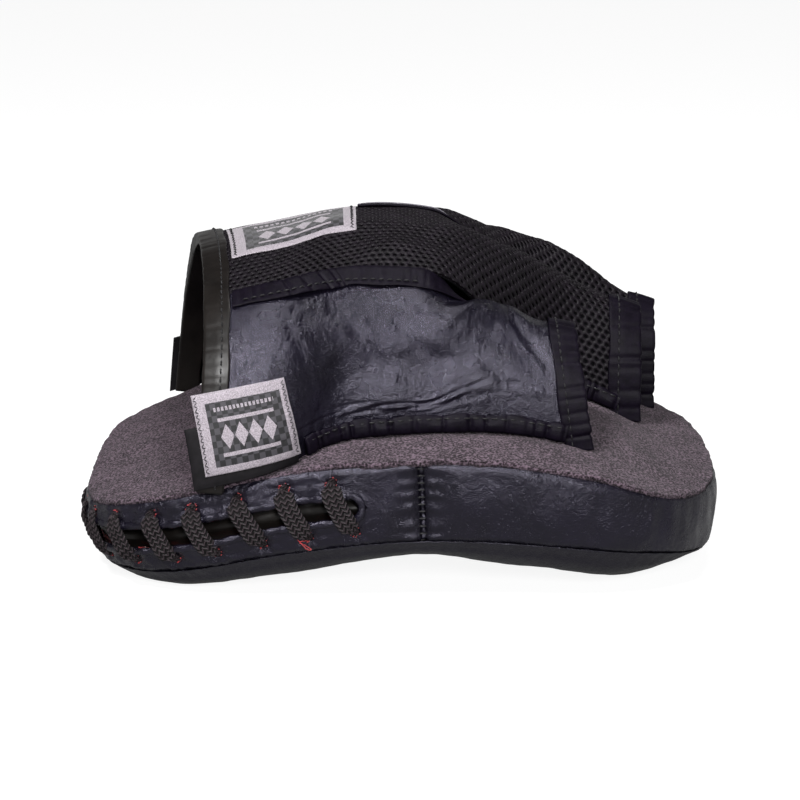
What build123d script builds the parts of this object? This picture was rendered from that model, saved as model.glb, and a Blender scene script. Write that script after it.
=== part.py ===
from build123d import *
import os
from math import copysign, cos, hypot, pi, radians, sin

# A curved boxing focus mitt for the left hand, strike face down, fingertips to +X,
# thumb side to -Y, hand cover on top. Millimetres. Z = 0 is the surface it lies on.

# ---------------------------------------------------------------- driving dimensions
# Plan outline: two superellipse halves that meet at the widest station.
HEEL_X = -123.4
TIP_X = 124.5
WIDE_X = 43.0
HALF_WIDTH = 94.5
HEEL_POWER = 4.0
TIP_POWER = 2.7

# How far the side walls lean in for each millimetre downwards.
HEEL_LEAN = 0.20
TIP_LEAN = 0.07
SIDE_LEAN = 0.06
OUTLINE_Z = 32.0
OUTLINE_POINTS = 28

# Long section, as (station X, height Z): top edge of the side wall, bottom edge of the
# side wall, and the lowest line of the padded strike face.
BACK_EDGE = [(-124, 30), (-85, 41), (-40, 53), (5, 57), (40, 56), (75, 49), (105, 38), (126, 34)]
STRIKE_EDGE = [(-124, 5), (-90, 9), (-40, 20), (5, 25), (45, 24), (75, 20.5), (105, 14), (126, 5)]
STRIKE_LOW = [(-124, 1), (-86, -3.3), (-45, 5), (8, 14), (50, 8), (90, -0.9), (126, 2)]
STRIKE_FULLNESS = 7
BACK_CROWN = 5.0

# Sheet thicknesses.
BACK_THICK = 2.2
STRIKE_THICK = 2.6
STRIKE_RIM = 3.0
WALL_THICK = 2.0
TAPE_THICK = 0.6
TAPE_HALF = 3.4
TONGUE_THICK = 1.2
TONGUE_OVERLAP = 5.0
TAB_THICK = 1.2
COVER_THICK = 2.0
PANEL_GAP = 0.002
TRIM_THICK = 1.25
TRIM_GAP = 0.6
LABEL_THICK = 0.6
CLEAR = 0.06

# Side seams, lacing slot and lace.
SEAM_X = 8.0
WELT_WIDTH = 1.6
WELT_GAP = 0.05
SLOT_END_X = -12.0
SLOT_HALF = 6.0
SLOT_LEVEL = 0.47
LIP_WIDTH = 1.8
LIP_PROUD = 0.9
UPPER_HOLES = 0.79
LOWER_HOLES = 0.18
HOLE_RADIUS = 1.9
FIRST_HOLE_X = -20.0
LACE_PITCH = 18.0
LACE_SLANT = 3.5
LACE_WIDTH = 9.0
LACE_THICK = 1.2
LACE_GAP = 1.8
LACE_GATHERED = 2.5
LACE_SHOULDER = 4.0
LACE_CLEAR = 0.3
LACE_INSIDE_WIDTH = 5.0
LACE_TAIL = 14.0
INSIDE_PLATES = 4

# Padding layers, from the strike face up.
CORE_INSET = 5.6
IMPACT_LIFT = 6.0
BACK_FOAM = 8.0
LAYER_GAP = 0.1

# Hand cover: base lines on the back panel, crest, and the plane of the wrist opening.
WRIST_X = -76.0
WRIST_SLANT = -0.117
WRIST_LEAN = 0.09
WRIST_SET = 8.7
SQUARE_X = 10.0
ARCH_POWER = 2.2
BASE_GAP = 0.2
NEAR_BASE = [(-90, -91), (-45, -89), (-24, -72), (0, -68), (35, -66), (70, -64)]
FAR_BASE = [(-90, 88), (-45, 87), (0, 82), (60, 80), (110, 72)]
CREST = [(-90, 117), (-66, 122), (-30, 129), (-5, 131), (18, 128), (44, 119), (70, 104)]
THUMB_ANGLE = 52.0
RIDGE_ANGLE = 101.0
THUMB_END_LEAN = -0.15

# Each sleeve: its share of the wrist arch in degrees, its own bases (Y) and crest, the
# stations between which it parts from the wrist arch, and its open end.
SLEEVES = {
    "thumb": {
        "angles": (0, THUMB_ANGLE),
        "bases": (-64, -14),
        "crest": [(-90, 130), (18, 122), (35, 107), (55, 97.5), (74, 94)],
        "split": (8, 56),
        "end": 73,
        "lean": THUMB_END_LEAN,
    },
    "front": {
        "angles": (THUMB_ANGLE, RIDGE_ANGLE),
        "bases": (10, 46),
        "crest": [(-90, 130), (35, 117), (50, 110), (65, 102), (80, 93.5), (96, 88)],
        "split": (12, 75),
        "end": 96,
        "lean": 0.0,
    },
    "rear": {
        "angles": (RIDGE_ANGLE, 180),
        "bases": (50, 73),
        "crest": [(-90, 140), (22, 133), (40, 126), (58, 112.5), (78, 98), (92, 87), (106, 82)],
        "split": (12, 75),
        "end": 105,
        "lean": 0.0,
    },
    "whole": {"angles": (0, 180), "end": 60, "split": (900, 901), "lean": 0.0},
}

SLEEVE_NODES = {"thumb": "thumb_sleeve", "front": "front_finger_sleeve", "rear": "rear_finger_sleeve"}

# Bindings, tabs, labels and palm grip.
END_BINDING = 9.0
END_LIP = 1.25
BASE_BINDING = 7.0
BASE_LIFT = 0.1
BASE_FOOT = 1.9
BASE_TOP = 1.6
SEAM_BINDING = 9.0
RIDGE_BINDING = 4.0
WRIST_BINDING = 9.0
GRIP_CENTRE = (-8.0, 6.0)
GRIP_SIZE = (64.0, 46.0, 46.0)
GRIP_SKIN = 1.6

FAR = 200.0


# ---------------------------------------------------------------- curves and surfaces
def glide(stations, x):
    """Smooth curve through a few (station, height) pairs, straight beyond the ends."""
    xs = [s[0] for s in stations]
    zs = [s[1] for s in stations]
    steps = [(zs[i + 1] - zs[i]) / (xs[i + 1] - xs[i]) for i in range(len(xs) - 1)]
    if x <= xs[0]:
        return zs[0] + (x - xs[0]) * steps[0]
    if x >= xs[-1]:
        return zs[-1] + (x - xs[-1]) * steps[-1]
    i = max(j for j in range(len(xs) - 1) if xs[j] <= x)

    def slope(j):
        if j == 0:
            return steps[0]
        if j == len(xs) - 1:
            return steps[-1]
        before = xs[j] - xs[j - 1]
        after = xs[j + 1] - xs[j]
        return (steps[j - 1] * after + steps[j] * before) / (before + after)

    h = xs[i + 1] - xs[i]
    u = (x - xs[i]) / h
    near = (2 * u**3 - 3 * u * u + 1) * zs[i] + (u**3 - 2 * u * u + u) * h * slope(i)
    far = (3 * u * u - 2 * u**3) * zs[i + 1] + (u**3 - u * u) * h * slope(i + 1)
    return near + far


def ease(x, low, high):
    """0 before low, 1 after high, smooth between."""
    u = min(max((x - low) / (high - low), 0.0), 1.0)
    return u * u * (3 - 2 * u)


def spread(low, high, count):
    return [low + (high - low) * i / (count - 1) for i in range(count)]


def plan_radius(x, y):
    """0 at the middle of the widest station, 1 on the plan outline."""
    power = TIP_POWER if x > WIDE_X else HEEL_POWER
    reach = (TIP_X - WIDE_X) if x > WIDE_X else (WIDE_X - HEEL_X)
    return (abs(y / HALF_WIDTH) ** power + abs((x - WIDE_X) / reach) ** power) ** (1 / power)


def back_z(x, y):
    """Top of the back panel."""
    return glide(BACK_EDGE, x) + BACK_CROWN * (1 - min(plan_radius(x, y), 1.1) ** 2)


def strike_z(x, y):
    """Underside of the padded strike face."""
    edge = glide(STRIKE_EDGE, x)
    r = plan_radius(x, y)
    fall = 1 - r**STRIKE_FULLNESS if r <= 1 else -STRIKE_FULLNESS * (r - 1)
    return edge - (edge - glide(STRIKE_LOW, x)) * fall


def outline_point(angle, z, outset=0.0):
    """Point of the side wall at a plan angle and a height, moved outwards by outset."""
    c, s = cos(angle), sin(angle)
    down = OUTLINE_Z - z
    if c > 0:
        reach, power = TIP_X - WIDE_X - TIP_LEAN * down, TIP_POWER
    else:
        reach, power = WIDE_X - HEEL_X - HEEL_LEAN * down, HEEL_POWER
    half = HALF_WIDTH - SIDE_LEAN * down
    x = WIDE_X + (reach + outset) * copysign(abs(c) ** (2 / power), c)
    y = (half + outset) * copysign(abs(s) ** (2 / power), s)
    return Vector(x, y, z)


def prism(inset):
    """The whole plan outline as a tall drafted block, drawn in by inset."""
    angles = [2 * pi * i / OUTLINE_POINTS for i in range(OUTLINE_POINTS)]
    wires = []
    for z in (-10, 80):
        points = [outline_point(a, z, -inset) for a in angles]
        wires.append(Wire([Edge.make_spline(points, periodic=True)]))
    return Solid.make_loft(wires, ruled=True)


def filled(surface, lift, up):
    """Everything above (up = 1) or below (up = -1) a height surface."""
    rows = []
    for x in spread(-130, 131, 18):
        rows.append([Vector(x, y, surface(x, y) + lift) for y in spread(-99, 99, 15)])
    face = Face.make_surface_from_array_of_points(rows, tol=0.2, min_deg=3, max_deg=3)
    return Solid.extrude(face, Vector(0, 0, up * FAR))


def band(low, high, x_end):
    """Everything between two long-section curves, heelwards of x_end, right across."""
    xs = spread(-140, x_end, 10)
    bottom = [Vector(x, -120, low(x)) for x in xs]
    top = [Vector(x, -120, high(x)) for x in reversed(xs)]
    edges = [Edge.make_spline(bottom), Edge.make_line(bottom[-1], top[0])]
    edges += [Edge.make_spline(top), Edge.make_line(top[-1], bottom[0])]
    return Solid.extrude(Face(Wire(edges)), Vector(0, 240, 0))


def wall_height(x, share):
    low = glide(STRIKE_EDGE, x)
    return low + (glide(BACK_EDGE, x) - low) * share


def level_band(share, half):
    """Everything near one share of the wall's height, heelwards of the seams."""
    return band(lambda x: wall_height(x, share) - half, lambda x: wall_height(x, share) + half, 0)


def block(x0, x1, y0, y1):
    return Pos((x0 + x1) / 2, (y0 + y1) / 2, 40) * Box(x1 - x0, y1 - y0, 2 * FAR)


# ---------------------------------------------------------------- hand cover surface
def arch_point(station, angle, near, far, top, slant, lean):
    """Point of one arch that stands on the back panel, in a slanted, leaning plane."""
    middle, half = (near + far) / 2, (far - near) / 2
    c, s = cos(radians(angle)), max(sin(radians(angle)), 0.0)
    y = middle - half * copysign(abs(c) ** (2 / ARCH_POWER), c)
    rise = s ** (2 / ARCH_POWER)
    x = station
    z = top
    for _ in range(5):
        foot = back_z(x, y) + BASE_GAP
        z = foot + (top - foot) * rise
        x = station + slant * y + lean * (z - 45)
    return Vector(x, y, z)


def cover_point(sleeve, t, v):
    """Outer face of the cover: t is the station along X, v runs 0 to 1 from -Y to +Y."""
    shape = SLEEVES[sleeve]
    square = ease(t, WRIST_X, SQUARE_X)
    slant = WRIST_SLANT * (1 - square)
    lean = WRIST_LEAN * (1 - square)
    if shape["lean"]:
        lean += shape["lean"] * ease(t, 20, 66)
    low, high = shape["angles"]
    station = t - WRIST_SET * (1 - square)
    angle = low + (high - low) * v
    bases = glide(NEAR_BASE, t), glide(FAR_BASE, t)
    whole = arch_point(station, angle, *bases, glide(CREST, t), slant, lean)
    apart = ease(t, *shape["split"])
    if apart == 0:
        return whole
    near, far = shape["bases"]
    own = arch_point(t, 180 * v, near, far, glide(shape["crest"], t), slant, lean)
    return whole * (1 - apart) + own * apart


def cover_frame(sleeve, t, v):
    """Point, direction along the sleeve, direction across it, and outward normal."""
    step = 0.004
    before, after = max(v - step, 0), min(v + step, 1)
    across = (cover_point(sleeve, t, after) - cover_point(sleeve, t, before)).normalized()
    along = (cover_point(sleeve, t + 0.4, v) - cover_point(sleeve, t - 0.4, v)).normalized()
    normal = along.cross(across).normalized()
    return cover_point(sleeve, t, v), along, across, normal


def section_offset(sleeve, t, v, lift):
    """Cover point moved outwards by lift without leaving the plane of its station."""
    step = 0.004
    before, after = max(v - step, 0), min(v + step, 1)
    across = cover_point(sleeve, t, after) - cover_point(sleeve, t, before)
    mid = cover_point(sleeve, t, v)
    plane = plane_normal(sleeve, t)
    normal = across.cross(plane).normalized()
    return mid + normal * lift


def plane_normal(sleeve, t):
    a = cover_point(sleeve, t, 0.0)
    b = cover_point(sleeve, t, 0.5)
    c = cover_point(sleeve, t, 1.0)
    normal = (b - a).cross(c - a).normalized()
    return normal if normal.X < 0 else normal * -1


def patch(sleeve, t0, t1, v0, v1, low, high, stations=10, points=13):
    """Curved sheet on the cover between two stations, two lines and two offsets."""
    wires = []
    for t in spread(t0, t1, stations):
        outer = [section_offset(sleeve, t, v, high) for v in spread(v0, v1, points)]
        inner = [section_offset(sleeve, t, v, low) for v in spread(v1, v0, points)]
        edges = [Edge.make_spline(outer), Edge.make_line(outer[-1], inner[0])]
        edges += [Edge.make_spline(inner), Edge.make_line(inner[-1], outer[0])]
        wires.append(Wire(edges))
    return Solid.make_loft(wires, ruled=False)


def strip(frames, profile):
    """Straight-sided strip: profile pairs are (side, up) in each frame along a line."""
    wires = []
    for point, side, up in frames:
        corners = [point + side * a + up * b for a, b in profile]
        wires.append(Wire.make_polygon(corners, close=True))
    return Solid.make_loft(wires, ruled=False)


# ---------------------------------------------------------------- pad body
def pad_body():
    outer = prism(0)
    lined = prism(WALL_THICK)
    under_top = filled(back_z, 0, -1)
    under_back = filled(back_z, -BACK_THICK, -1)
    over_strike = filled(strike_z, 0, 1)
    over_skin = filled(strike_z, STRIKE_THICK, 1)
    floor = Pos(0, 0, FAR / 2) * Box(2 * FAR, 2 * FAR, FAR)
    below_edge = band(lambda x: -FAR, lambda x: glide(STRIKE_EDGE, x), 140)
    above_edge = band(lambda x: glide(STRIKE_EDGE, x), lambda x: FAR, 140)

    back_panel = (outer & under_top) - under_back
    strike_face = (outer & below_edge & over_strike & floor) - (prism(STRIKE_RIM) & over_skin)

    wall = (outer & above_edge & under_back) - lined
    half_welt = WELT_WIDTH / 2
    heel = wall & block(-FAR, SEAM_X - half_welt - WELT_GAP, -FAR, FAR)
    finger = wall & block(SEAM_X + half_welt + WELT_GAP, FAR, -FAR, FAR)
    near_welt = wall & block(SEAM_X - half_welt, SEAM_X + half_welt, -FAR, 0)
    far_welt = wall & block(SEAM_X - half_welt, SEAM_X + half_welt, 0, FAR)

    slot = slot_cutter(SLOT_HALF)
    inner_slot = slot_cutter(SLOT_HALF - LIP_WIDTH)
    piping = ((prism(-LIP_PROUD) - lined) & slot) - inner_slot
    holes = [hole_cutter(angle, share) for angle, share in hole_places()]
    heel = heel - slot - holes

    tongue_out = WALL_THICK + TAPE_THICK + LACE_GAP
    tongue = prism(tongue_out) - prism(tongue_out + TONGUE_THICK)
    reach = SLOT_HALF + TONGUE_OVERLAP
    tongue = tongue & band(lambda x: slot_z(x) - reach, lambda x: slot_z(x) + reach, SLOT_END_X + 8)

    tapes = lined - prism(WALL_THICK + TAPE_THICK)
    tapes = tapes & block(-FAR, SLOT_END_X + 4, -FAR, FAR)
    upper = tapes & level_band(UPPER_HOLES, TAPE_HALF)
    lower = tapes & level_band(LOWER_HOLES, TAPE_HALF)

    core = prism(CORE_INSET)
    first = band(lambda x: -FAR, lambda x: glide(STRIKE_EDGE, x) + IMPACT_LIFT, 140)
    over_first = band(lambda x: glide(STRIKE_EDGE, x) + IMPACT_LIFT + LAYER_GAP, lambda x: FAR, 140)
    below_soft = filled(back_z, -BACK_THICK - BACK_FOAM, -1)
    over_soft = filled(back_z, -BACK_THICK - BACK_FOAM + LAYER_GAP, 1)
    impact = core & first & filled(strike_z, STRIKE_THICK + LAYER_GAP, 1)
    middle = core & over_first & below_soft
    soft = core & over_soft & filled(back_z, -BACK_THICK - LAYER_GAP, -1)

    return {
        "back_panel": back_panel,
        "strike_face": strike_face,
        "heel_gusset": heel,
        "finger_gusset": finger,
        "near_seam_welt": near_welt,
        "far_seam_welt": far_welt,
        "slot_piping": piping,
        "lace_tongue": tongue,
        "upper_eyelet_tape": upper - holes,
        "lower_eyelet_tape": lower - holes,
        "impact_foam": impact,
        "foam_core": middle,
        "back_foam": soft,
    }


def slot_z(x):
    return wall_height(x, SLOT_LEVEL)


def slot_cutter(half):
    """Slot round the heel with a round end at each side seam, cut right across."""
    x = SLOT_END_X - SLOT_HALF
    long_part = band(lambda a: slot_z(a) - half, lambda a: slot_z(a) + half, x)
    round_end = Pos(x, 0, slot_z(x)) * Rot(90, 0, 0) * Cylinder(half, 240)
    return long_part + round_end


# ---------------------------------------------------------------- lace
def lace_stations():
    """Plan angles of the lacing stations, evenly spaced round the heel wall."""
    table = []
    run = 0.0
    last = None
    steps = 720
    for i in range(steps + 1):
        angle = -pi / 2 - 0.001 - (pi - 0.002) * i / steps
        point = outline_point(angle, OUTLINE_Z)
        if last is not None:
            run += hypot(point.X - last.X, point.Y - last.Y)
        table.append((run, angle, point.X))
        last = point
    return table


def at_run(table, run):
    """Plan angle at a distance round the wall."""
    for (a, angle_a, _), (b, angle_b, _) in zip(table, table[1:]):
        if b >= run:
            return angle_a + (angle_b - angle_a) * (run - a) / (b - a)
    return table[-1][1]


def lacing():
    """Runs of the lacing stations, from the near slot end round the heel to the far one."""
    table = lace_stations()
    start = next(run for run, _, x in table if x < FIRST_HOLE_X)
    stop = table[-1][0] - start
    count = round((stop - start) / LACE_PITCH) + 1
    return table, spread(start, stop, count)


def wall_place(angle, share, outset):
    """Point on the side wall at a share of its height."""
    z = OUTLINE_Z
    for _ in range(4):
        point = outline_point(angle, z, outset)
        z = wall_height(point.X, share)
    return outline_point(angle, z, outset)


def wall_normal(angle):
    before = outline_point(angle - 0.004, OUTLINE_Z)
    after = outline_point(angle + 0.004, OUTLINE_Z)
    return Vector(after.Y - before.Y, before.X - after.X, 0).normalized()


def hole_places():
    table, runs = lacing()
    places = []
    for run in runs:
        places.append((at_run(table, run + LACE_SLANT), UPPER_HOLES))
        places.append((at_run(table, run - LACE_SLANT), LOWER_HOLES))
    return places


def hole_cutter(angle, share):
    centre = wall_place(angle, share, -1.5)
    return Plane(origin=centre, z_dir=wall_normal(angle)) * Cylinder(HOLE_RADIUS, 8)


def lace_plane(start, stop, normal):
    """Plane of a run of lace: X along the run, Z as near the wall's normal as it can be."""
    along = (stop - start).normalized()
    facing = normal - along * along.dot(normal)
    return Plane(origin=(start + stop) * 0.5, x_dir=along, z_dir=facing)


def plate(start, stop, normal, width, thick, spare):
    """Flat length of lace from start to stop, with its face along the wall."""
    return lace_plane(start, stop, normal) * Box((stop - start).length + spare, width, thick)


def outside_run(start, stop, normal):
    """Length of lace over the slot, full width in the middle and gathered at the holes."""
    half = (stop - start).length / 2 + LACE_GATHERED / 2
    wide, narrow = LACE_WIDTH / 2, LACE_GATHERED / 2
    shoulder = half - LACE_SHOULDER
    corners = [(-half, -narrow), (-shoulder, -wide), (shoulder, -wide), (half, -narrow)]
    corners += [(half, narrow), (shoulder, wide), (-shoulder, wide), (-half, narrow)]
    face = lace_plane(start, stop, normal) * Polygon(*corners, align=None)
    return extrude(face, amount=LACE_THICK / 2, both=True)


def lace():
    """The whole lace: over the slot on the outside, back up behind the wall."""
    table, runs = lacing()
    outside = LIP_PROUD + LACE_CLEAR + LACE_THICK / 2
    inside = -(WALL_THICK + TAPE_THICK + LACE_GAP / 2)
    pieces = []
    length = 0.0
    for i, run in enumerate(runs):
        top, foot = at_run(table, run + LACE_SLANT), at_run(table, run - LACE_SLANT)
        normal = wall_normal(at_run(table, run))
        start, stop = wall_place(top, UPPER_HOLES, outside), wall_place(foot, LOWER_HOLES, outside)
        pieces.append(outside_run(start, stop, normal))
        length += (stop - start).length
        for angle, share in ((top, UPPER_HOLES), (foot, LOWER_HOLES)):
            outer = wall_place(angle, share, outside)
            inner = wall_place(angle, share, inside)
            pieces.append(plate(inner, outer, Vector(0, 0, 1), LACE_GATHERED, LACE_GATHERED, 0.8))
            length += (outer - inner).length
        if i < len(runs) - 1:
            climb = spread(run - LACE_SLANT, runs[i + 1] + LACE_SLANT, INSIDE_PLATES + 1)
            shares = spread(LOWER_HOLES, UPPER_HOLES, INSIDE_PLATES + 1)
        else:
            climb = spread(run - LACE_SLANT, run - LACE_SLANT - LACE_TAIL, 3)
            shares = spread(LOWER_HOLES, LOWER_HOLES + 0.3, 3)
        points = [wall_place(at_run(table, r), share, inside) for r, share in zip(climb, shares)]
        for k, (a, b) in enumerate(zip(points, points[1:])):
            face = wall_normal(at_run(table, (climb[k] + climb[k + 1]) / 2))
            pieces.append(plate(a, b, face, LACE_INSIDE_WIDTH, LACE_THICK - 0.1, 1.0))
            length += (b - a).length
    return pieces[0].fuse(*pieces[1:]), length


# ---------------------------------------------------------------- hand cover pieces
def sleeve_panel(sleeve):
    """Cover panel from the wrist opening to the open end of its sleeve."""
    low = 0.0 if sleeve == "thumb" else PANEL_GAP
    high = 1.0 if sleeve == "rear" else 1 - PANEL_GAP
    return patch(sleeve, WRIST_X, SLEEVES[sleeve]["end"], low, high, -COVER_THICK, 0, stations=14)


def end_binding(sleeve, t, facing, width, count):
    """U-shaped tape round an open edge; facing is +1 or -1 along X."""
    inner = -COVER_THICK - CLEAR
    profile = [(-width, CLEAR), (-width, TRIM_THICK), (END_LIP, TRIM_THICK)]
    profile += [(END_LIP, inner - TRIM_THICK), (-width, inner - TRIM_THICK), (-width, inner)]
    profile += [(CLEAR, inner), (CLEAR, CLEAR)]
    frames = []
    for v in spread(0, 1, count):
        point, along, across, normal = cover_frame(sleeve, t, v)
        outwards = normal.cross(across).normalized()
        frames.append((point, outwards * facing * copysign(1, outwards.dot(along)), normal))
    return strip(frames, profile)


def base_binding(sleeve, t0, t1, v, count):
    profile = [(CLEAR, BASE_LIFT), (BASE_FOOT, BASE_LIFT), (BASE_TOP, BASE_BINDING), (CLEAR, BASE_BINDING)]
    frames = []
    for t in spread(t0, t1, count):
        point, along, across, normal = cover_frame(sleeve, t, v)
        up = across if v < 0.5 else across * -1
        frames.append((point, normal, (up - along * up.dot(along)).normalized()))
    return strip(frames, profile)


def seam_binding(sleeve, t0, t1, v, low, high, count):
    profile = [(low, CLEAR), (high, CLEAR), (high, TRIM_THICK), (low, TRIM_THICK)]
    frames = []
    for t in spread(t0, t1, count):
        point, along, across, normal = cover_frame(sleeve, t, v)
        frames.append((point, (across - along * across.dot(along)).normalized(), normal))
    return strip(frames, profile)


def palm_grip():
    x, y = GRIP_CENTRE
    base = back_z(x, y)
    long, wide, tall = (size / 2 for size in GRIP_SIZE)
    over_back = filled(back_z, CLEAR, 1)
    over_skin = filled(back_z, CLEAR + GRIP_SKIN, 1)
    outer = Pos(x, y, base) * scale(Sphere(1), by=(long, wide, tall))
    cut = GRIP_SKIN
    inner = Pos(x, y, base) * scale(Sphere(1), by=(long - cut, wide - cut, tall - cut))
    core = Pos(x, y, base) * scale(Sphere(1), by=(long - cut - 0.1, wide - cut - 0.1, tall - cut - 0.1))
    skin = (outer & over_back) - (inner & over_skin)
    foam = core & filled(back_z, CLEAR + GRIP_SKIN + 0.1, 1)
    return skin, foam


def hand_cover():
    parts = {}
    for sleeve, node in SLEEVE_NODES.items():
        parts[node] = sleeve_panel(sleeve)
        parts[sleeve + "_end_binding"] = end_binding(sleeve, SLEEVES[sleeve]["end"], 1, END_BINDING, 11)
    parts["wrist_binding"] = end_binding("whole", WRIST_X, -1, WRIST_BINDING, 17)
    start = WRIST_X + WRIST_BINDING + TRIM_GAP
    parts["thumb_top_binding"] = seam_binding("thumb", start, 12, 1, -SEAM_BINDING, 0.8, 12)
    parts["finger_ridge_binding"] = seam_binding("front", -15, 15, 1, -RIDGE_BINDING, 0.6, 9)
    for sleeve, t0, v, count in (("thumb", -36, 0, 12), ("front", 70, 0, 5), ("rear", -44, 1, 14)):
        stop = SLEEVES[sleeve]["end"] - END_BINDING - TRIM_GAP
        parts[sleeve + "_base_binding"] = base_binding(sleeve, t0, stop, v, count)
    over_trim = TRIM_THICK + CLEAR
    parts["near_wrist_tab"] = patch("thumb", -79, -38, 0, 0.3, over_trim, over_trim + TAB_THICK)
    parts["far_wrist_tab"] = patch("rear", -79, -46, 0.82, 1, over_trim, over_trim + TAB_THICK)
    on_tab = over_trim + TAB_THICK + CLEAR
    parts["side_label"] = patch("thumb", -77, -41, 0.05, 0.42, on_tab, on_tab + LABEL_THICK)
    parts["top_label"] = patch("front", -66, -16, 0.42, 0.96, CLEAR, CLEAR + LABEL_THICK)
    parts["palm_grip_cover"], parts["palm_grip_foam"] = palm_grip()
    return parts


def main():
    os.makedirs("parts", exist_ok=True)
    parts = pad_body()
    parts.update(hand_cover())
    parts["lace"], length = lace()
    for name, shape in parts.items():
        export_step(shape, "parts/" + name + ".step")
    print("lace length", round(length), "mm")


main()
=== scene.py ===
from math import cos, pi, radians, sin, sqrt, tau

import bmesh
import bpy
import numpy as np
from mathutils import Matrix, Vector


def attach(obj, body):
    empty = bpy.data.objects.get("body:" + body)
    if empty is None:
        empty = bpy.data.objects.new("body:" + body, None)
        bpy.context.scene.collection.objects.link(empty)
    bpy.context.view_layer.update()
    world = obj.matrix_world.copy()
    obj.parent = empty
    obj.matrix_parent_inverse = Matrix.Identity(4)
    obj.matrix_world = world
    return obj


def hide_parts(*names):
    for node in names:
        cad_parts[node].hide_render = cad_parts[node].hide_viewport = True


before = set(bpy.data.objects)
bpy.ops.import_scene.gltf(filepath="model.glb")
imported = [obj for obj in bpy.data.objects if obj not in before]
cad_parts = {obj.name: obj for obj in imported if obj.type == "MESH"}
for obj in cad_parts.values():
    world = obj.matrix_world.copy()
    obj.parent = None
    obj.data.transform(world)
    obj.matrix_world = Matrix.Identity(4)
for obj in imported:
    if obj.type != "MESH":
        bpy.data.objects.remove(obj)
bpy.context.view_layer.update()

MM = 0.001

# ------------------------------------------------------------ dimensions, as in the CAD part (mm)
HEEL_X, TIP_X, WIDE_X, HALF_WIDTH = -123.4, 124.5, 43.0, 94.5
HEEL_POWER, TIP_POWER = 4.0, 2.7
PLAN_CENTRE_X = WIDE_X - 40
HEEL_LEAN, TIP_LEAN, SIDE_LEAN, OUTLINE_Z = 0.20, 0.07, 0.06, 32.0
BACK_EDGE = [(-124, 30), (-85, 41), (-40, 53), (5, 57), (40, 56), (75, 49), (105, 38), (126, 34)]
STRIKE_EDGE = [(-124, 5), (-90, 9), (-40, 20), (5, 25), (45, 24), (75, 20.5), (105, 14), (126, 5)]
STRIKE_LOW = [(-124, 1), (-86, -3.3), (-45, 5), (8, 14), (50, 8), (90, -0.9), (126, 2)]
STRIKE_FULLNESS = 7
BACK_CROWN, BACK_THICK = 5.0, 2.2
WALL_THICK, COVER_THICK = 2.0, 2.0
SEAM_X = 8.0
SLOT_END_X, SLOT_HALF, SLOT_LEVEL = -12.0, 6.0, 0.47
SLOT_CENTRE_X = SLOT_END_X - SLOT_HALF
UPPER_HOLES, LOWER_HOLES, HOLE_RADIUS = 0.79, 0.18, 1.9
FIRST_HOLE_X, LACE_PITCH, LACE_SLANT = -20.0, 18.0, 3.5
LACE_WIDTH, LACE_THICK, LACE_PINCH = 7.8, 1.2, 3.0
LIP_RADIUS, WELT_DEPTH, WELT_GAP = 5.1, 0.9, 0.9
WRIST_X, WRIST_SLANT, WRIST_LEAN, WRIST_SET, SQUARE_X = -76.0, -0.117, 0.09, 8.7, 10.0
ARCH_POWER, BASE_GAP = 2.2, 0.2
NEAR_BASE = [(-90, -91), (-45, -89), (-24, -72), (0, -68), (35, -66), (70, -64)]
FAR_BASE = [(-90, 88), (-45, 87), (0, 82), (60, 80), (110, 72)]
CREST = [(-90, 117), (-66, 122), (-30, 129), (-5, 131), (18, 128), (44, 119), (70, 104)]
SLEEVES = {
    "thumb": {
        "angles": (0, 52), "bases": (-64, -14), "split": (8, 56), "end": 73, "lean": -0.15,
        "crest": [(-90, 130), (18, 124), (30, 115), (42, 106), (55, 98.5), (74, 94)],
    },
    "front": {
        "angles": (52, 101), "bases": (10, 46), "split": (12, 75), "end": 96, "lean": 0.0,
        "crest": [(-90, 130), (35, 117), (50, 110), (65, 102), (80, 93.5), (96, 88)],
    },
    "rear": {
        "angles": (101, 180), "bases": (50, 73), "split": (12, 75), "end": 105, "lean": 0.0,
        "crest": [(-90, 140), (22, 133), (40, 126), (58, 112.5), (78, 98), (92, 87), (106, 82)],
    },
    # the cover as one arch, which never splits
    "whole": {
        "angles": (0, 180), "bases": (0, 1), "split": (900, 901), "end": 60, "lean": 0.0,
        "crest": CREST,
    },
}
PANEL_WIDTH = {"thumb": 74, "front": 76, "rear": 110}
MESH_PITCH, MESH_HOLE = 2.9, 0.72
BRAID_PITCH = 1.9
TAPE_THICK = 1.25

# ------------------------------------------------------------ grid sizes and folds
# grid rows of the wall below and above the slot
ROWS_BELOW, ROWS_ABOVE = 27, 30
# creases of the thumb leather: start, stop, width, depth
THUMB_FOLDS = [
    ((6, 66), (62, 20), 2.6, 1.5), ((22, 64), (60, 40), 1.9, 0.9), ((-30, 58), (-2, 22), 2.3, 1.0),
    ((-6, 50), (30, 12), 2.2, 0.9), ((34, 56), (66, 8), 2.0, 1.1), ((-48, 66), (-36, 30), 1.7, 0.7),
    ((12, 30), (52, 4), 2.2, 0.9), ((44, 30), (68, 30), 1.8, 0.8),
]
# its hollows and bulges: depth, then middle and width along it and up it
THUMB_HOLLOWS = [(-3.2, 44, 20, 23, 11), (-1.8, 2, 14, 25, 10), (2.0, 26, 20, 46, 12), (1.8, -22, 16, 43, 13)]


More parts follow.
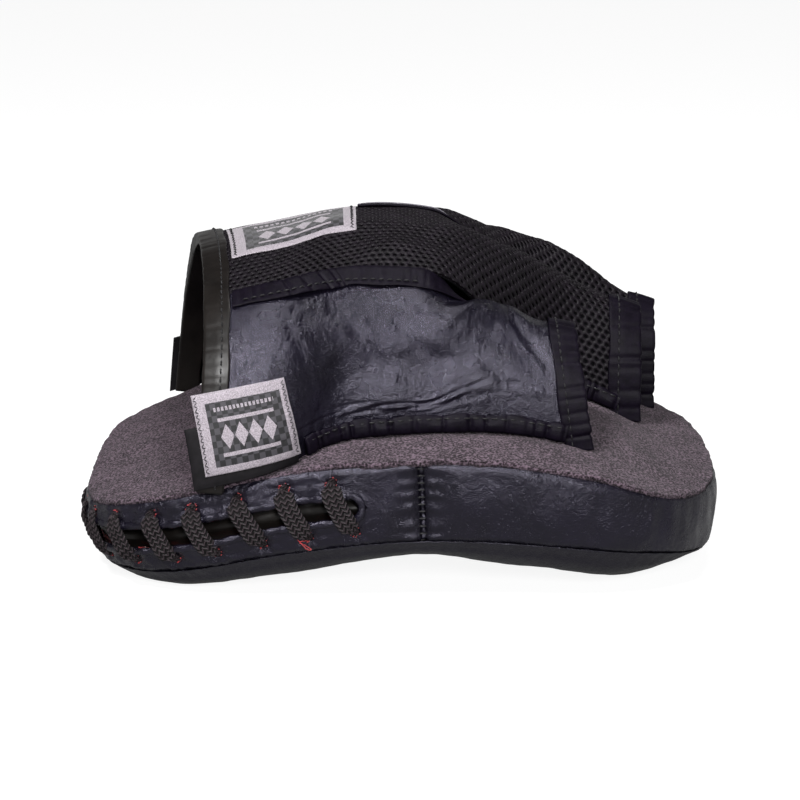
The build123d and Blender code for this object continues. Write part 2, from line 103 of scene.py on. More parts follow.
# ------------------------------------------------------------ curves and surfaces
def glide(stations, x):
    """Smooth curve through a few stations, straight beyond the ends."""
    xs, zs = np.array(stations, float).T
    x = np.asarray(x, float)
    gap = np.diff(xs)
    step = np.diff(zs) / gap
    inner = (step[:-1] * gap[1:] + step[1:] * gap[:-1]) / (gap[:-1] + gap[1:])
    slope = np.concatenate([step[:1], inner, step[-1:]])
    i = np.clip(np.searchsorted(xs, x, side="right") - 1, 0, len(gap) - 1)
    h = gap[i]
    u = (x - xs[i]) / h
    near = (2 * u**3 - 3 * u**2 + 1) * zs[i] + (u**3 - 2 * u**2 + u) * h * slope[i]
    far = (3 * u**2 - 2 * u**3) * zs[i + 1] + (u**3 - u**2) * h * slope[i + 1]
    value = near + far
    value = np.where(x < xs[0], zs[0] + (x - xs[0]) * step[0], value)
    return np.where(x > xs[-1], zs[-1] + (x - xs[-1]) * step[-1], value)


def ease(x, low, high):
    """Smooth step from 0 at low to 1 at high."""
    u = np.clip((np.asarray(x, float) - low) / (high - low), 0, 1)
    return u * u * (3 - 2 * u)


def bump(x, middle, width):
    """Smooth hill of height 1 at middle."""
    return np.exp(-(((np.asarray(x, float) - middle) / width) ** 2))


def signed_power(c, power):
    """Power of the size of c, with the sign of c."""
    return np.sign(c) * np.abs(c) ** power


def unit(a):
    """Directions of length 1."""
    return a / np.maximum(np.linalg.norm(a, axis=-1, keepdims=True), 1e-9)


def square_to(a, along):
    """The part of a direction that is square to another."""
    return unit(a - along * np.sum(a * along, -1, keepdims=True))


def plan_radius(x, y):
    """0 at the middle of the plan outline and 1 on it."""
    power = np.where(x > WIDE_X, TIP_POWER, HEEL_POWER)
    reach = np.where(x > WIDE_X, TIP_X - WIDE_X, WIDE_X - HEEL_X)
    return (np.abs(y / HALF_WIDTH) ** power + np.abs((x - WIDE_X) / reach) ** power) ** (1 / power)


def back_z(x, y):
    """Top of the crowned back panel."""
    return glide(BACK_EDGE, x) + BACK_CROWN * (1 - np.minimum(plan_radius(x, y), 1.1) ** 2)


def strike_z(x, y):
    """Outside of the domed strike face, which touches the floor at both ends."""
    edge = glide(STRIKE_EDGE, x)
    r = np.minimum(plan_radius(x, y), 1)
    return np.maximum(edge - (edge - glide(STRIKE_LOW, x)) * (1 - r**STRIKE_FULLNESS), 0)


def outline_point(angle, z, outset):
    """Point of the drafted plan outline, wider at the top than at the bottom."""
    c, s = np.cos(angle), np.sin(angle)
    down = OUTLINE_Z - z
    tip = c > 0
    power = 2 / np.where(tip, TIP_POWER, HEEL_POWER)
    reach = np.where(tip, TIP_X - WIDE_X - TIP_LEAN * down, WIDE_X - HEEL_X - HEEL_LEAN * down)
    x = WIDE_X + (reach + outset) * signed_power(c, power)
    y = (HALF_WIDTH - SIDE_LEAN * down + outset) * signed_power(s, power)
    return np.stack(np.broadcast_arrays(x, y, z), -1)


def wall_height(x, share):
    """Height above the floor at a share of the wall."""
    low = glide(STRIKE_EDGE, x)
    return low + (glide(BACK_EDGE, x) - low) * share


def wall_place(angle, share, outset):
    """Point of the side wall at a plan angle, a share of its height and an outset."""
    z = OUTLINE_Z + 0 * np.asarray(angle, float)
    for _ in range(4):
        point = outline_point(angle, z, outset)
        z = wall_height(point[..., 0], share)
    return outline_point(angle, z, outset)


def arch_point(station, angle, near, far, top, slant, lean):
    """Point of one arch over the back panel, from its near foot at 0 to its far foot at 180 degrees."""
    middle, half = (near + far) / 2, (far - near) / 2
    c = np.cos(np.radians(angle))
    s = np.maximum(np.sin(np.radians(angle)), 0)
    y = middle - half * signed_power(c, 2 / ARCH_POWER)
    rise = s ** (2 / ARCH_POWER)
    x = station + 0 * y
    for _ in range(5):
        foot = back_z(x, y) + BASE_GAP
        z = foot + (top - foot) * rise
        x = station + slant * y + lean * (z - 45)
    return np.stack([x, y, z], -1)


def cover_point(sleeve, t, v):
    """Outer face of the hand cover: t is the station along X, v runs 0 to 1 from -Y to +Y."""
    t, v = np.broadcast_arrays(np.asarray(t, float), np.asarray(v, float))
    shape = SLEEVES[sleeve]
    square = ease(t, WRIST_X, SQUARE_X)
    slant = WRIST_SLANT * (1 - square)
    lean = WRIST_LEAN * (1 - square) + shape["lean"] * ease(t, 20, 66)
    low, high = shape["angles"]
    near, far, top = glide(NEAR_BASE, t), glide(FAR_BASE, t), glide(CREST, t)
    whole = arch_point(t - WRIST_SET * (1 - square), low + (high - low) * v, near, far, top, slant, lean)
    apart = ease(t, *shape["split"])[..., None]
    own = arch_point(t, 180 * v, *shape["bases"], glide(shape["crest"], t), slant, lean)
    return whole * (1 - apart) + own * apart


def cover_frame(sleeve, t, v):
    """Point, direction along the sleeve, direction across it, and outward normal."""
    t, v = np.broadcast_arrays(np.asarray(t, float), np.asarray(v, float))
    after = np.where(v > 1, v + 0.004, np.minimum(v + 0.004, 1))
    across = cover_point(sleeve, t, after) - cover_point(sleeve, t, np.maximum(v - 0.004, 0))
    along = unit(cover_point(sleeve, t + 0.4, v) - cover_point(sleeve, t - 0.4, v))
    across = unit(across)
    normal = unit(np.cross(along, across))
    return cover_point(sleeve, t, v), along, across, normal


class Flat:
    """Lays a cover panel out flat: q is the distance in mm across it from its v = 0 edge."""

    def __init__(self, sleeve, low=-95.0, high=112.0, rows=70, points=121):
        self.t = np.linspace(low, high, rows)
        v = np.linspace(0, 1, points)
        grid = cover_point(sleeve, self.t[:, None], v[None, :])
        steps = np.linalg.norm(np.diff(grid, axis=1), axis=-1)
        reach = np.concatenate([np.zeros((rows, 1)), np.cumsum(steps, axis=1)], axis=1)
        self.width = reach[:, -1]
        self.q = np.linspace(0, self.width.max(), 160)
        self.v = np.array([np.interp(self.q, row, v, right=np.nan) for row in reach])
        for row, wide in zip(self.v, self.width):
            past = np.isnan(row)
            row[past] = 1 + (self.q[past] - wide) / wide

    def across(self, t, q):
        """v at a station and a distance, by bilinear interpolation."""
        t, q = np.broadcast_arrays(np.asarray(t, float), np.asarray(q, float))
        a = np.clip(np.interp(t, self.t, np.arange(len(self.t))), 0, len(self.t) - 1.001)
        b = np.clip(q / (self.q[1] - self.q[0]), 0, len(self.q) - 1.001)
        i, j = a.astype(int), b.astype(int)
        a, b = a - i, b - j
        top = self.v[i, j] * (1 - b) + self.v[i, j + 1] * b
        low = self.v[i + 1, j] * (1 - b) + self.v[i + 1, j + 1] * b
        return top * (1 - a) + low * a


def waves(x, y, length, seed, count=14, squash=1.0, turn=0.0):
    """Seeded smooth noise about 1 high, with waves about length long, longer along turn."""
    rng = np.random.default_rng(seed)
    c, s = cos(turn), sin(turn)
    x, y = (x * c + y * s) * squash, y * c - x * s
    total = 0
    for _ in range(count):
        angle = rng.uniform(0, tau)
        size = tau / (length * rng.uniform(0.6, 1.6))
        total = total + np.sin(size * (x * cos(angle) + y * sin(angle)) + rng.uniform(0, 6.3))
    return total / sqrt(count)


def crease(x, y, start, stop, width, depth):
    """A fold line from start to stop: a furrow with a soft ridge on each side."""
    start, stop = np.array(start, float), np.array(stop, float)
    run = stop - start
    length = np.hypot(*run)
    along = ((x - start[0]) * run[0] + (y - start[1]) * run[1]) / length**2
    off = np.abs((x - start[0]) * run[1] - (y - start[1]) * run[0]) / length
    fade = np.clip(np.sin(np.pi * np.clip(along, 0, 1)), 0, 1) ** 0.7
    furrow = -bump(off, 0, width) + 0.55 * bump(off, 1.9 * width, 1.2 * width)
    return depth * furrow * fade


# ------------------------------------------------------------ mesh building
def add_mesh(name, points, faces, uv=None):
    """New smooth object from points in millimetres."""
    mesh = bpy.data.meshes.new(name)
    mesh.from_pydata((np.asarray(points, float).reshape(-1, 3) * MM).tolist(), [], faces)
    mesh.polygons.foreach_set("use_smooth", [True] * len(mesh.polygons))
    if uv is not None:
        layer = mesh.uv_layers.new(name="flat")
        loops = np.empty(len(mesh.loops), int)
        mesh.loops.foreach_get("vertex_index", loops)
        layer.data.foreach_set("uv", np.asarray(uv, float).reshape(-1, 2)[loops].ravel())
    mesh.update()
    piece = bpy.data.objects.new(name, mesh)
    bpy.context.scene.collection.objects.link(piece)
    return piece


def grid_faces(rows, columns, wrap=False, keep=None, start=0):
    """Quads of a grid of points, joined round if wrap, without the cells that keep leaves out."""
    faces = []
    for i in range(rows - 1):
        for j in range(columns if wrap else columns - 1):
            if keep is not None and not keep[i, j]:
                continue
            k = (j + 1) % columns
            row, after = start + i * columns, start + (i + 1) * columns
            faces.append((row + j, row + k, after + k, after + j))
    return faces


def sheet_piece(name, outer, inner, keep=None, uv=None, wrap=False):
    """Closed sheet from two matching point grids: the shown face and the one behind it."""
    rows, columns = outer.shape[:2]
    count = rows * columns
    rounded_off = np.round(outer.reshape(-1, 3), 3)
    _, first, same = np.unique(rounded_off, axis=0, return_index=True, return_inverse=True)
    welded = first[same.ravel()].tolist()
    faces = []
    for face in grid_faces(rows, columns, wrap, keep):
        face = list(dict.fromkeys(welded[i] for i in face))
        if len(face) > 2:
            faces.append(tuple(face))
    back = [tuple(i + count for i in reversed(face)) for face in faces]
    used = {edge for face in faces for edge in zip(face, face[1:] + face[:1])}
    rim = [(b, a, a + count, b + count) for a, b in used if (b, a) not in used]
    points = np.concatenate([outer.reshape(-1, 3), inner.reshape(-1, 3)])
    if uv is not None:
        uv = np.concatenate([uv.reshape(-1, 2), uv.reshape(-1, 2)])
    return clean(add_mesh(name, points, faces + back + rim, uv))


def clean(piece, weld=0.004, sliver=0.0):
    """Joins doubled points and drops loose points and slivers; weld in mm, sliver in square mm."""
    mesh = bmesh.new()
    mesh.from_mesh(piece.data)
    drop_loose(mesh)
    bmesh.ops.remove_doubles(mesh, verts=mesh.verts, dist=weld * MM)
    thin = [f for f in mesh.faces if f.calc_area() < sliver * MM**2]
    bmesh.ops.delete(mesh, geom=thin, context="FACES")
    drop_loose(mesh)
    bmesh.ops.recalc_face_normals(mesh, faces=mesh.faces)
    mesh.to_mesh(piece.data)
    mesh.free()
    return piece


def drop_loose(mesh):
    """Drops the points that no face uses."""
    bmesh.ops.delete(mesh, geom=[v for v in mesh.verts if not v.link_faces], context="VERTS")


def distances(points):
    """Distance of each point of a line from its start."""
    return np.concatenate([[0], np.cumsum(np.linalg.norm(np.diff(points, axis=0), axis=1))])


def part_way(at, run, points):
    """Points at given distances along a line."""
    return np.stack([np.interp(at, run, points[:, k]) for k in range(3)], -1)


def oval(count, wide, tall, drop):
    """Closed profile for swept, set down by drop."""
    angle = np.linspace(0, tau, count, endpoint=False)
    return np.stack([wide * np.cos(angle), tall * np.sin(angle) - drop], -1)


def swept(name, points, sides, ups, profile, relief=None, closed=False):
    """Solid strip: profile is a closed loop of (side, up) offsets, carried along the points."""
    loop = np.array(profile, float)
    a = np.broadcast_to(loop[:, 0], (len(points), len(loop))).copy()
    b = np.broadcast_to(loop[:, 1], (len(points), len(loop))).copy()
    if relief is not None:
        a, b = relief(distances(points)[:, None], a, b)
    rings = points[:, None, :] + sides[:, None, :] * a[..., None] + ups[:, None, :] * b[..., None]
    rows, columns = rings.shape[:2]
    if closed:
        rings = np.concatenate([rings, rings[:1]])
        rows += 1
    faces = grid_faces(rows, columns, True)
    if not closed:
        faces.append(tuple(range(columns)))
        faces.append(tuple((rows - 1) * columns + i for i in reversed(range(columns))))
    return clean(add_mesh(name, rings, faces))


def rounded(corners, step=0.6, cut=0.35):
    """Closed loop of points round a polygon, with its corners softened."""
    corners = np.array(corners, float)
    loop = []
    for i, point in enumerate(corners):
        before, after = corners[i - 1], corners[(i + 1) % len(corners)]
        back, on = np.linalg.norm(before - point), np.linalg.norm(after - point)
        r = min(cut, back / 2.2, on / 2.2)
        into, out = point + (before - point) / back * r, point + (after - point) / on * r
        loop += [into, point * 0.5 + (into + out) * 0.25, out]
        more = int((on - 2 * r) / step)
        far = after - (after - point) / on * r
        loop += [out + (far - out) * k / (more + 1) for k in range(1, more + 1)]
    return loop


def tubes(name, paths, radius, sides=6):
    """Many thin round threads joined in one mesh; each path is an array of points."""
    points, faces, start = [], [], 0
    for path in paths:
        path = np.asarray(path, float)
        heading = unit(np.gradient(path, axis=0))
        helper = np.where(np.abs(heading[:, 2:3]) > 0.8, [[1.0, 0, 0]], [[0, 0, 1.0]])
        side = unit(np.cross(heading, helper))
        up = np.cross(heading, side)
        taper = np.sqrt(np.clip(1 - np.linspace(-1, 1, len(path)) ** 6, 0.12, 1))[:, None, None]
        angle = np.linspace(0, tau, sides, endpoint=False)
        ring = side[:, None] * np.cos(angle)[:, None] + up[:, None] * np.sin(angle)[:, None]
        points.append((path[:, None] + ring * radius * taper).reshape(-1, 3))
        faces += grid_faces(len(path), sides, True, start=start)
        faces.append(tuple(start + i for i in reversed(range(sides))))
        faces.append(tuple(start + (len(path) - 1) * sides + i for i in range(sides)))
        start += len(path) * sides
    return add_mesh(name, np.concatenate(points), faces)


def stitches(name, points, normals, pitch=3.4, length=2.5, radius=0.32, sink=0.15):
    """A row of stitches lying along a line on a surface."""
    run = distances(points)
    paths = []
    rng = np.random.default_rng(len(name))
    at = pitch / 2
    while at + length < run[-1]:
        s = np.linspace(at, at + length, 5)
        path = part_way(s, run, points)
        up = unit(part_way(s, run, normals))
        lift = radius * np.array([-0.9, 0.5, 0.8, 0.5, -0.9]) - sink
        paths.append(path + up * lift[:, None] + rng.normal(0, 0.04, 3))
        at += pitch * rng.uniform(0.95, 1.05)
    return tubes(name, paths, radius)


# ------------------------------------------------------------ materials
class Shader:
    """Small helper that builds one Principled material."""

    def __init__(self, name):
        self.material = bpy.data.materials.new(name)
        self.material.use_nodes = True
        self.tree = self.material.node_tree
        self.main = self.tree.nodes["Principled BSDF"]
        self.place = self.node("ShaderNodeTexCoord").outputs["Object"]

    def node(self, kind, **values):
        """New shader node with its settings."""
        node = self.tree.nodes.new(kind)
        for key, value in values.items():
            setattr(node, key, value)
        return node

    def link(self, a, b):
        self.tree.links.new(a, b)

    def set(self, **values):
        """Plain values on the shader's own sockets."""
        for key, value in values.items():
            self.main.inputs[key.replace("_", " ")].default_value = value

    def noise(self, scale, detail=3.0, rough=0.55, stretch=None):
        """Soft noise in the piece's own space, drawn out along one way if stretch is given."""
        node = self.node("ShaderNodeTexNoise")
        node.inputs["Scale"].default_value = scale
        node.inputs["Detail"].default_value = detail
        node.inputs["Roughness"].default_value = rough
        place = self.place
        if stretch:
            mapping = self.node("ShaderNodeMapping")
            mapping.inputs["Scale"].default_value = stretch
            mapping.inputs["Rotation"].default_value = (0.3, 0.5, 0.4)
            self.link(place, mapping.inputs["Vector"])
            place = mapping.outputs["Vector"]
        self.link(place, node.inputs["Vector"])
        return node.outputs["Fac"]

    def cells(self, scale, feature="DISTANCE_TO_EDGE"):
        """Pebbles or pits in the piece's own space."""
        node = self.node("ShaderNodeTexVoronoi", feature=feature)
        node.inputs["Scale"].default_value = scale
        self.link(self.place, node.inputs["Vector"])
        return node.outputs["Distance"]

    def math(self, operation, a, b=0.0):
        """One sum; a and b are sockets or numbers."""
        node = self.node("ShaderNodeMath", operation=operation)
        for socket, value in zip(node.inputs, (a, b)):
            if isinstance(value, (int, float)):
                socket.default_value = value
            else:
                self.link(value, socket)
        return node.outputs["Value"]

    def times(self, a, b):
        return self.math("MULTIPLY", a, b)

    def plus(self, a, b):
        return self.math("ADD", a, b)

    def minus(self, a, b):
        return self.math("SUBTRACT", a, b)

    def flat_uv(self):
        """The two coordinates of the piece's own flat layout, 0 to 1 across a label."""
        flat = self.node("ShaderNodeUVMap", uv_map="flat").outputs["UV"]
        split = self.node("ShaderNodeSeparateXYZ")
        self.link(flat, split.inputs["Vector"])
        return split.outputs["X"], split.outputs["Y"]

    def ramp(self, value, stops, target=None):
        """Tones by value, linked to a socket of the shader if target is given."""
        node = self.node("ShaderNodeValToRGB")
        ramp = node.color_ramp
        while len(ramp.elements) < len(stops):
            ramp.elements.new(0.5)
        for element, (at, colour) in zip(ramp.elements, stops):
            element.position = at
            colour = (colour,) * 3 if isinstance(colour, (int, float)) else colour
            element.color = (*colour, 1)
        self.link(value, node.inputs["Fac"])
        if target:
            self.link(node.outputs["Color"], self.main.inputs[target])
        return node.outputs["Color"]

    def bumps(self, layers):
        """Chain of (height, distance in mm, strength)."""
        last = None
        for height, distance, strength in layers:
            node = self.node("ShaderNodeBump")
            node.inputs["Distance"].default_value = distance * MM
            node.inputs["Strength"].default_value = strength
            self.link(height, node.inputs["Height"])
            if last is not None:
                self.link(last, node.inputs["Normal"])
            last = node.outputs["Normal"]
        self.link(last, self.main.inputs["Normal"])


def leather_material(name, dark, light, rough):
    """Smooth black leather: fine wrinkles, pebbled grain and patchy shine."""
    s = Shader(name)
    patch = s.noise(45, 6, 0.65)
    s.ramp(patch, [(0.35, dark), (0.68, light)], "Base Color")
    wear = s.noise(120, 5, 0.6)
    s.ramp(wear, [(0.3, rough - 0.03), (0.7, rough + 0.05)], "Roughness")
    grain = s.cells(1150)
    fine = s.noise(2600, 2)
    lines = s.noise(430, 5, 0.62, stretch=(1.0, 0.3, 0.75))
    pebble = s.ramp(grain, [(0.0, 0.0), (0.16, 1.0)])
    s.bumps([(lines, 1.1, 0.62), (pebble, 0.08, 0.6), (fine, 0.05, 0.4)])
    s.set(Specular_IOR_Level=0.48, Specular_Tint=(0.84, 0.80, 1.0, 1))
    return s.material


def suede_material():
    """Grey suede: mottled nap with pits."""
    s = Shader("suede")
    nap = s.noise(1500, 5, 0.8)
    pits = s.cells(1050, "F1")
    patch = s.noise(60, 4, 0.6)
    mixed = s.plus(s.times(nap, 0.62), s.times(patch, 0.12))
    mixed = s.plus(mixed, s.times(pits, 0.26))
    tones = [(0.42, (0.005, 0.0033, 0.0045)), (0.49, (0.031, 0.0212, 0.0278)), (0.59, (0.138, 0.100, 0.126))]
    s.ramp(mixed, tones, "Base Color")
    clumps = s.noise(600, 5, 0.7)
    s.bumps([(clumps, 0.45, 0.7), (nap, 0.35, 0.9)])
    s.set(Roughness=0.95, Specular_IOR_Level=0.08, Sheen_Weight=0.05, Sheen_Roughness=0.6)
    return s.material


def cloth_material(name, dark, light, scale=1500, rough=0.75, sheen=0.2, weave=0.06, specular=0.3):
    """Woven or knitted cloth, and the foam, by tone and fineness."""
    s = Shader(name)
    tone = s.noise(scale / 5, 4, 0.6)
    s.ramp(tone, [(0.3, dark), (0.72, light)], "Base Color")
    fine = s.noise(scale, 3, 0.6)
    folds = s.noise(260, 3, 0.5)
    s.bumps([(folds, 0.25, 0.35), (fine, weave * 2, 0.55)])
    s.set(Roughness=rough, Specular_IOR_Level=specular, Sheen_Weight=sheen, Sheen_Roughness=0.5)
    return s.material


def braid_material():
    """Lace with the chevron of its braid in relief, and in colour as painted shade and highlight: darker in
    the valleys and at the strand edges, lighter on the rib crests.
    """
    s = Shader("lace_braid_painted_shade")
    across, length = s.flat_uv()
    third = s.math("FRACT", s.times(across, 3.0))
    zigzag = s.times(s.math("ABSOLUTE", s.minus(third, 0.5)), 2.6)
    along = s.plus(s.times(length, 100.0), zigzag)
    rib = s.math("SINE", s.times(along, tau / BRAID_PITCH))
    edge = s.times(s.math("ABSOLUTE", s.minus(third, 0.5)), 2.0)
    fibre = s.noise(2600, 3, 0.7)
    # painted shade and highlight: the base colour follows the rib and the strand edges, dark in the valleys
    # and at the edges, light on the crests; fibre is the yarn's own tone
    height = s.minus(s.plus(s.times(rib, 0.34), fibre), s.times(edge, 0.2))
    tones = [(0.12, (0.0012, 0.0009, 0.0011)), (0.42, (0.0085, 0.0058, 0.0070)), (0.85, (0.04, 0.029, 0.034))]
    s.ramp(height, tones, "Base Color")
    s.bumps([(rib, 0.25, 0.7), (fibre, 0.12, 0.6)])
    s.set(Roughness=0.62, Specular_IOR_Level=0.25)
    return s.material


def vinyl_material():
    """Glossy black vinyl of the wrist binding and the tongue."""
    s = Shader("wrist_vinyl")
    patch = s.noise(60, 3)
    s.ramp(patch, [(0.3, (0.0045, 0.0038, 0.0035)), (0.75, (0.011, 0.0090, 0.0080))], "Base Color")
    fine = s.noise(900, 3)
    wide = s.noise(140, 3)
    s.ramp(wide, [(0.3, 0.30), (0.7, 0.42)], "Roughness")
    s.bumps([(wide, 0.5, 0.3), (fine, 0.04, 0.3)])
    s.set(Specular_IOR_Level=0.2)
    return s.material


def label_material(name, columns, rows, field):
    """Woven label: pale border, dark checked field, a plain row of diamonds and dashes."""
    s = Shader(name)
    u, v = s.flat_uv()

    def within(value, low, high):
        return s.times(s.math("GREATER_THAN", value, low), s.math("LESS_THAN", value, high))

    def away(value, middle, size):
        return s.math("DIVIDE", s.math("ABSOLUTE", s.minus(value, middle)), size)

    u0, u1, v0, v1 = field
    middle_v = (v0 + v1) / 2 - 0.05
    inside = s.times(within(u, u0, u1), within(v, v0, v1))
    cell_u = s.math("FLOOR", s.times(u, columns))
    cell_v = s.math("FLOOR", s.times(v, rows))
    checker = s.math("MODULO", s.plus(cell_u, cell_v), 2)
    block = within(u, u0 + 0.1, u1 - 0.1)
    repeat = s.math("FRACT", s.times(s.minus(u, u0 + 0.1), 4 / (u1 - u0 - 0.2)))
    rhomb = s.plus(away(repeat, 0.5, 0.5), away(v, middle_v, 0.16))
    row = s.times(block, s.math("LESS_THAN", rhomb, 0.95))
    rails = s.times(block, within(away(v, middle_v, 1.0), 0.19, 0.235))
    dash = s.times(within(v, v1 - 0.12, v1 - 0.07), within(u, u0 + 0.08, u1 - 0.08))
    dash = s.times(dash, s.math("LESS_THAN", s.math("FRACT", s.times(u, 24)), 0.6))
    mark = s.math("MAXIMUM", row, s.math("MAXIMUM", rails, dash))
    thread = s.noise(2400, 2)
    dark = s.ramp(s.plus(s.times(checker, 0.75), s.times(thread, 0.25)),
                  [(0.12, (0.003, 0.0028, 0.004)), (0.9, (0.038, 0.035, 0.042))])
    pale = s.ramp(thread, [(0.3, (0.15, 0.13, 0.15)), (0.7, (0.38, 0.34, 0.375))])
    mix = s.node("ShaderNodeMix", data_type="RGBA")
    pick = s.times(inside, s.minus(1.0, mark))
    colours = [i for i in mix.inputs if i.type == "RGBA"]
    s.link(pick, next(i for i in mix.inputs if i.name == "Factor" and i.type == "VALUE"))
    s.link(pale, colours[0])
    s.link(dark, colours[1])
    s.link(next(o for o in mix.outputs if o.type == "RGBA"), s.main.inputs["Base Color"])
    step = s.minus(1.0, pick)
    ribs = s.math("SINE", s.times(u, 520))
    weft = s.noise(1900, 2, 0.5, stretch=(1, 0.25, 1))
    s.bumps([(step, 0.12, 0.8), (ribs, 0.05, 0.5), (weft, 0.12, 0.6)])
    s.set(Roughness=0.5, Specular_IOR_Level=0.35, Sheen_Weight=0.2)
    return s.material


LEATHER = leather_material("leather", (0.0020, 0.0016, 0.0034), (0.0050, 0.0040, 0.0090), 0.25)
STRIKE_LEATHER = leather_material("strike_leather", (0.0035, 0.0030, 0.0048), (0.0080, 0.0072, 0.0105), 0.33)
SUEDE = suede_material()
MESH = cloth_material(
    "mesh_cloth", (0.0022, 0.0015, 0.0024), (0.0080, 0.0055, 0.0088), 1400, 0.55, 0.0, 0.12, 0.16,
)
LINING = cloth_material(
    "mesh_lining", (0.0012, 0.0012, 0.0016), (0.0035, 0.0035, 0.0045), 1100, 0.9, 0.0, 0.06, 0.08,
)
NYLON = cloth_material(
    "binding_nylon", (0.0018, 0.0010, 0.0030), (0.0050, 0.0032, 0.0078), 1700, 0.5, 0.0, 0.08, 0.08,
)
VINYL = vinyl_material()
BRAID = braid_material()
RED = cloth_material("red_tape", (0.20, 0.012, 0.015), (0.55, 0.04, 0.045), 1500, 0.7, 0.3)
THREAD = cloth_material("thread", (0.003, 0.003, 0.0035), (0.011, 0.010, 0.012), 2500, 0.5, 0.05, 0.06, 0.3)
PIPING = cloth_material("piping", (0.06, 0.055, 0.07), (0.16, 0.15, 0.18), 1500, 0.45, 0.3)
TAB = cloth_material(
    "tab_webbing", (0.0020, 0.0016, 0.0022), (0.0065, 0.0052, 0.0068), 1700, 0.65, 0.0, 0.06, 0.18,
)
FOAM = cloth_material("foam", (0.16, 0.155, 0.15), (0.30, 0.29, 0.28), 900, 0.95, 0.0)
SIDE_LABEL = label_material("side_label_weave", 17, 13, (0.13, 0.92, 0.08, 0.86))
TOP_LABEL = label_material("top_label_weave", 22, 12, (0.12, 0.90, 0.10, 0.86))


def place(piece, material, slot, *nodes):
    """Gives a piece its material and the root body, and hides the CAD nodes it stands for; slot is not used.
    """
    piece.data.materials.clear()
    piece.data.materials.append(material)
    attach(piece, "root")
    if nodes:
        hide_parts(*nodes)
    return piece


# ------------------------------------------------------------ side wall
def wall_table():
    """Plan angle against distance round the wall, from the near side round the heel."""
    w = np.linspace(0, 1, 700)[:-1]
    quarter = pi / 2 * np.sin(pi * w / 2) ** 2
    angles = np.concatenate([quarter + k * pi / 2 for k in range(4)] + [[tau]])
    angles = -pi / 2 - angles
    points = outline_point(angles, OUTLINE_Z, 0.0)
    run = np.concatenate([[0], np.cumsum(np.hypot(*np.diff(points[:, :2], axis=0).T))])
    return run, angles, points[:, 0]


RUN, ANGLE, RUN_X = wall_table()
LOOP = RUN[-1]
TURN = int(np.argmin(np.abs(ANGLE + 3 * pi / 2)))


def run_at(x):
    """Distance round the wall of a station on the near side."""
    return float(np.interp(-x, -RUN_X[:TURN // 2], RUN[:TURN // 2]))


NEAR_SEAM = run_at(SEAM_X)
FAR_SEAM = RUN[TURN] - NEAR_SEAM


def angle_at(run):
    """Plan angle at a distance round the wall, which may run past one turn."""
    turns = np.floor(run / LOOP)
    return np.interp(run - turns * LOOP, RUN, ANGLE)


def wall_at(run, share, outset):
    """Point of the wall at a distance round it, a share of its height and an outset."""
    return wall_place(angle_at(run), share, outset)


def wall_rise(x):
    """Height of the wall at a station."""
    return glide(BACK_EDGE, x) - glide(STRIKE_EDGE, x)


def wall_out(run):
    """Outward level direction of the wall."""
    before = outline_point(angle_at(run - 0.6), OUTLINE_Z, 0.0)
    after = outline_point(angle_at(run + 0.6), OUTLINE_Z, 0.0)
    onward = unit(after - before)
    return np.stack([onward[..., 1], -onward[..., 0], 0 * onward[..., 0]], -1)


LACE_START = run_at(FIRST_HOLE_X)
LACE_STOP = RUN[TURN] - LACE_START
LACE_RUNS = np.linspace(LACE_START, LACE_STOP, round((LACE_STOP - LACE_START) / LACE_PITCH) + 1)
HOLES = [(run + LACE_SLANT, UPPER_HOLES) for run in LACE_RUNS]
HOLES += [(run - LACE_SLANT, LOWER_HOLES) for run in LACE_RUNS]


def slot_half(x):
    """Half height of the lacing slot at a station."""
    return np.sqrt(np.clip(SLOT_HALF**2 - np.maximum(x - SLOT_CENTRE_X, 0) ** 2, 0, None))


def wall_relief(run, share, x):
    """How far the leather wall stands out of its drafted shape."""
    height = wall_rise(x)
    z = share * height
    out = 0.45 * waves(run, z, 34, 3) + 0.22 * waves(run, z * 0.6, 9, 4)
    body = np.sin(pi * np.clip(share, 0, 1))
    out = out * (0.3 + 0.7 * body) + 1.5 * body
    out = out - 1.0 * bump(share, 0, 0.03) - 1.2 * bump(share, 0.95, 0.05)
    puckers = 0.5 + 0.5 * np.sin(run * tau / 4.6 + 1.6 * np.sin(run / 11.0))
    out = out - 0.14 * puckers * bump(share, 0.03, 0.1)
    from_seam = np.minimum(np.abs(run - NEAR_SEAM), np.abs(run - LOOP - NEAR_SEAM))
    from_seam = np.minimum(from_seam, np.abs(run - FAR_SEAM))
    out = out - 2.6 * bump(from_seam, 0, 9) * body - 1.6 * bump(from_seam, 0, 2.0)
    ripples = np.sin(z * tau / 5.5 + 0.8 * np.sin(z / 3)) * bump(from_seam, 4, 4)
    out = out + 0.35 * ripples
    tight = 0.5 + 0.5 * waves(run, 0 * run, 40, 5)
    fine = np.sin(run * tau / 2.7 + 1.9 * np.sin(run / 4.3) + 0.5 * z)
    out = out + 0.07 * tight * fine * bump(share, 0.86, 0.13)
    for hole_run, hole_share in HOLES:
        a, b = run - hole_run, (share - hole_share) * height
        away = np.hypot(a, b)
        out = out - 0.9 * bump(away, 0, 3.2) + 0.3 * bump(away, 5.0, 2.0)
        out = out + 0.16 * np.sin(9 * np.arctan2(b, a) + hole_run) * bump(away, 6.0, 3.2)
    return out


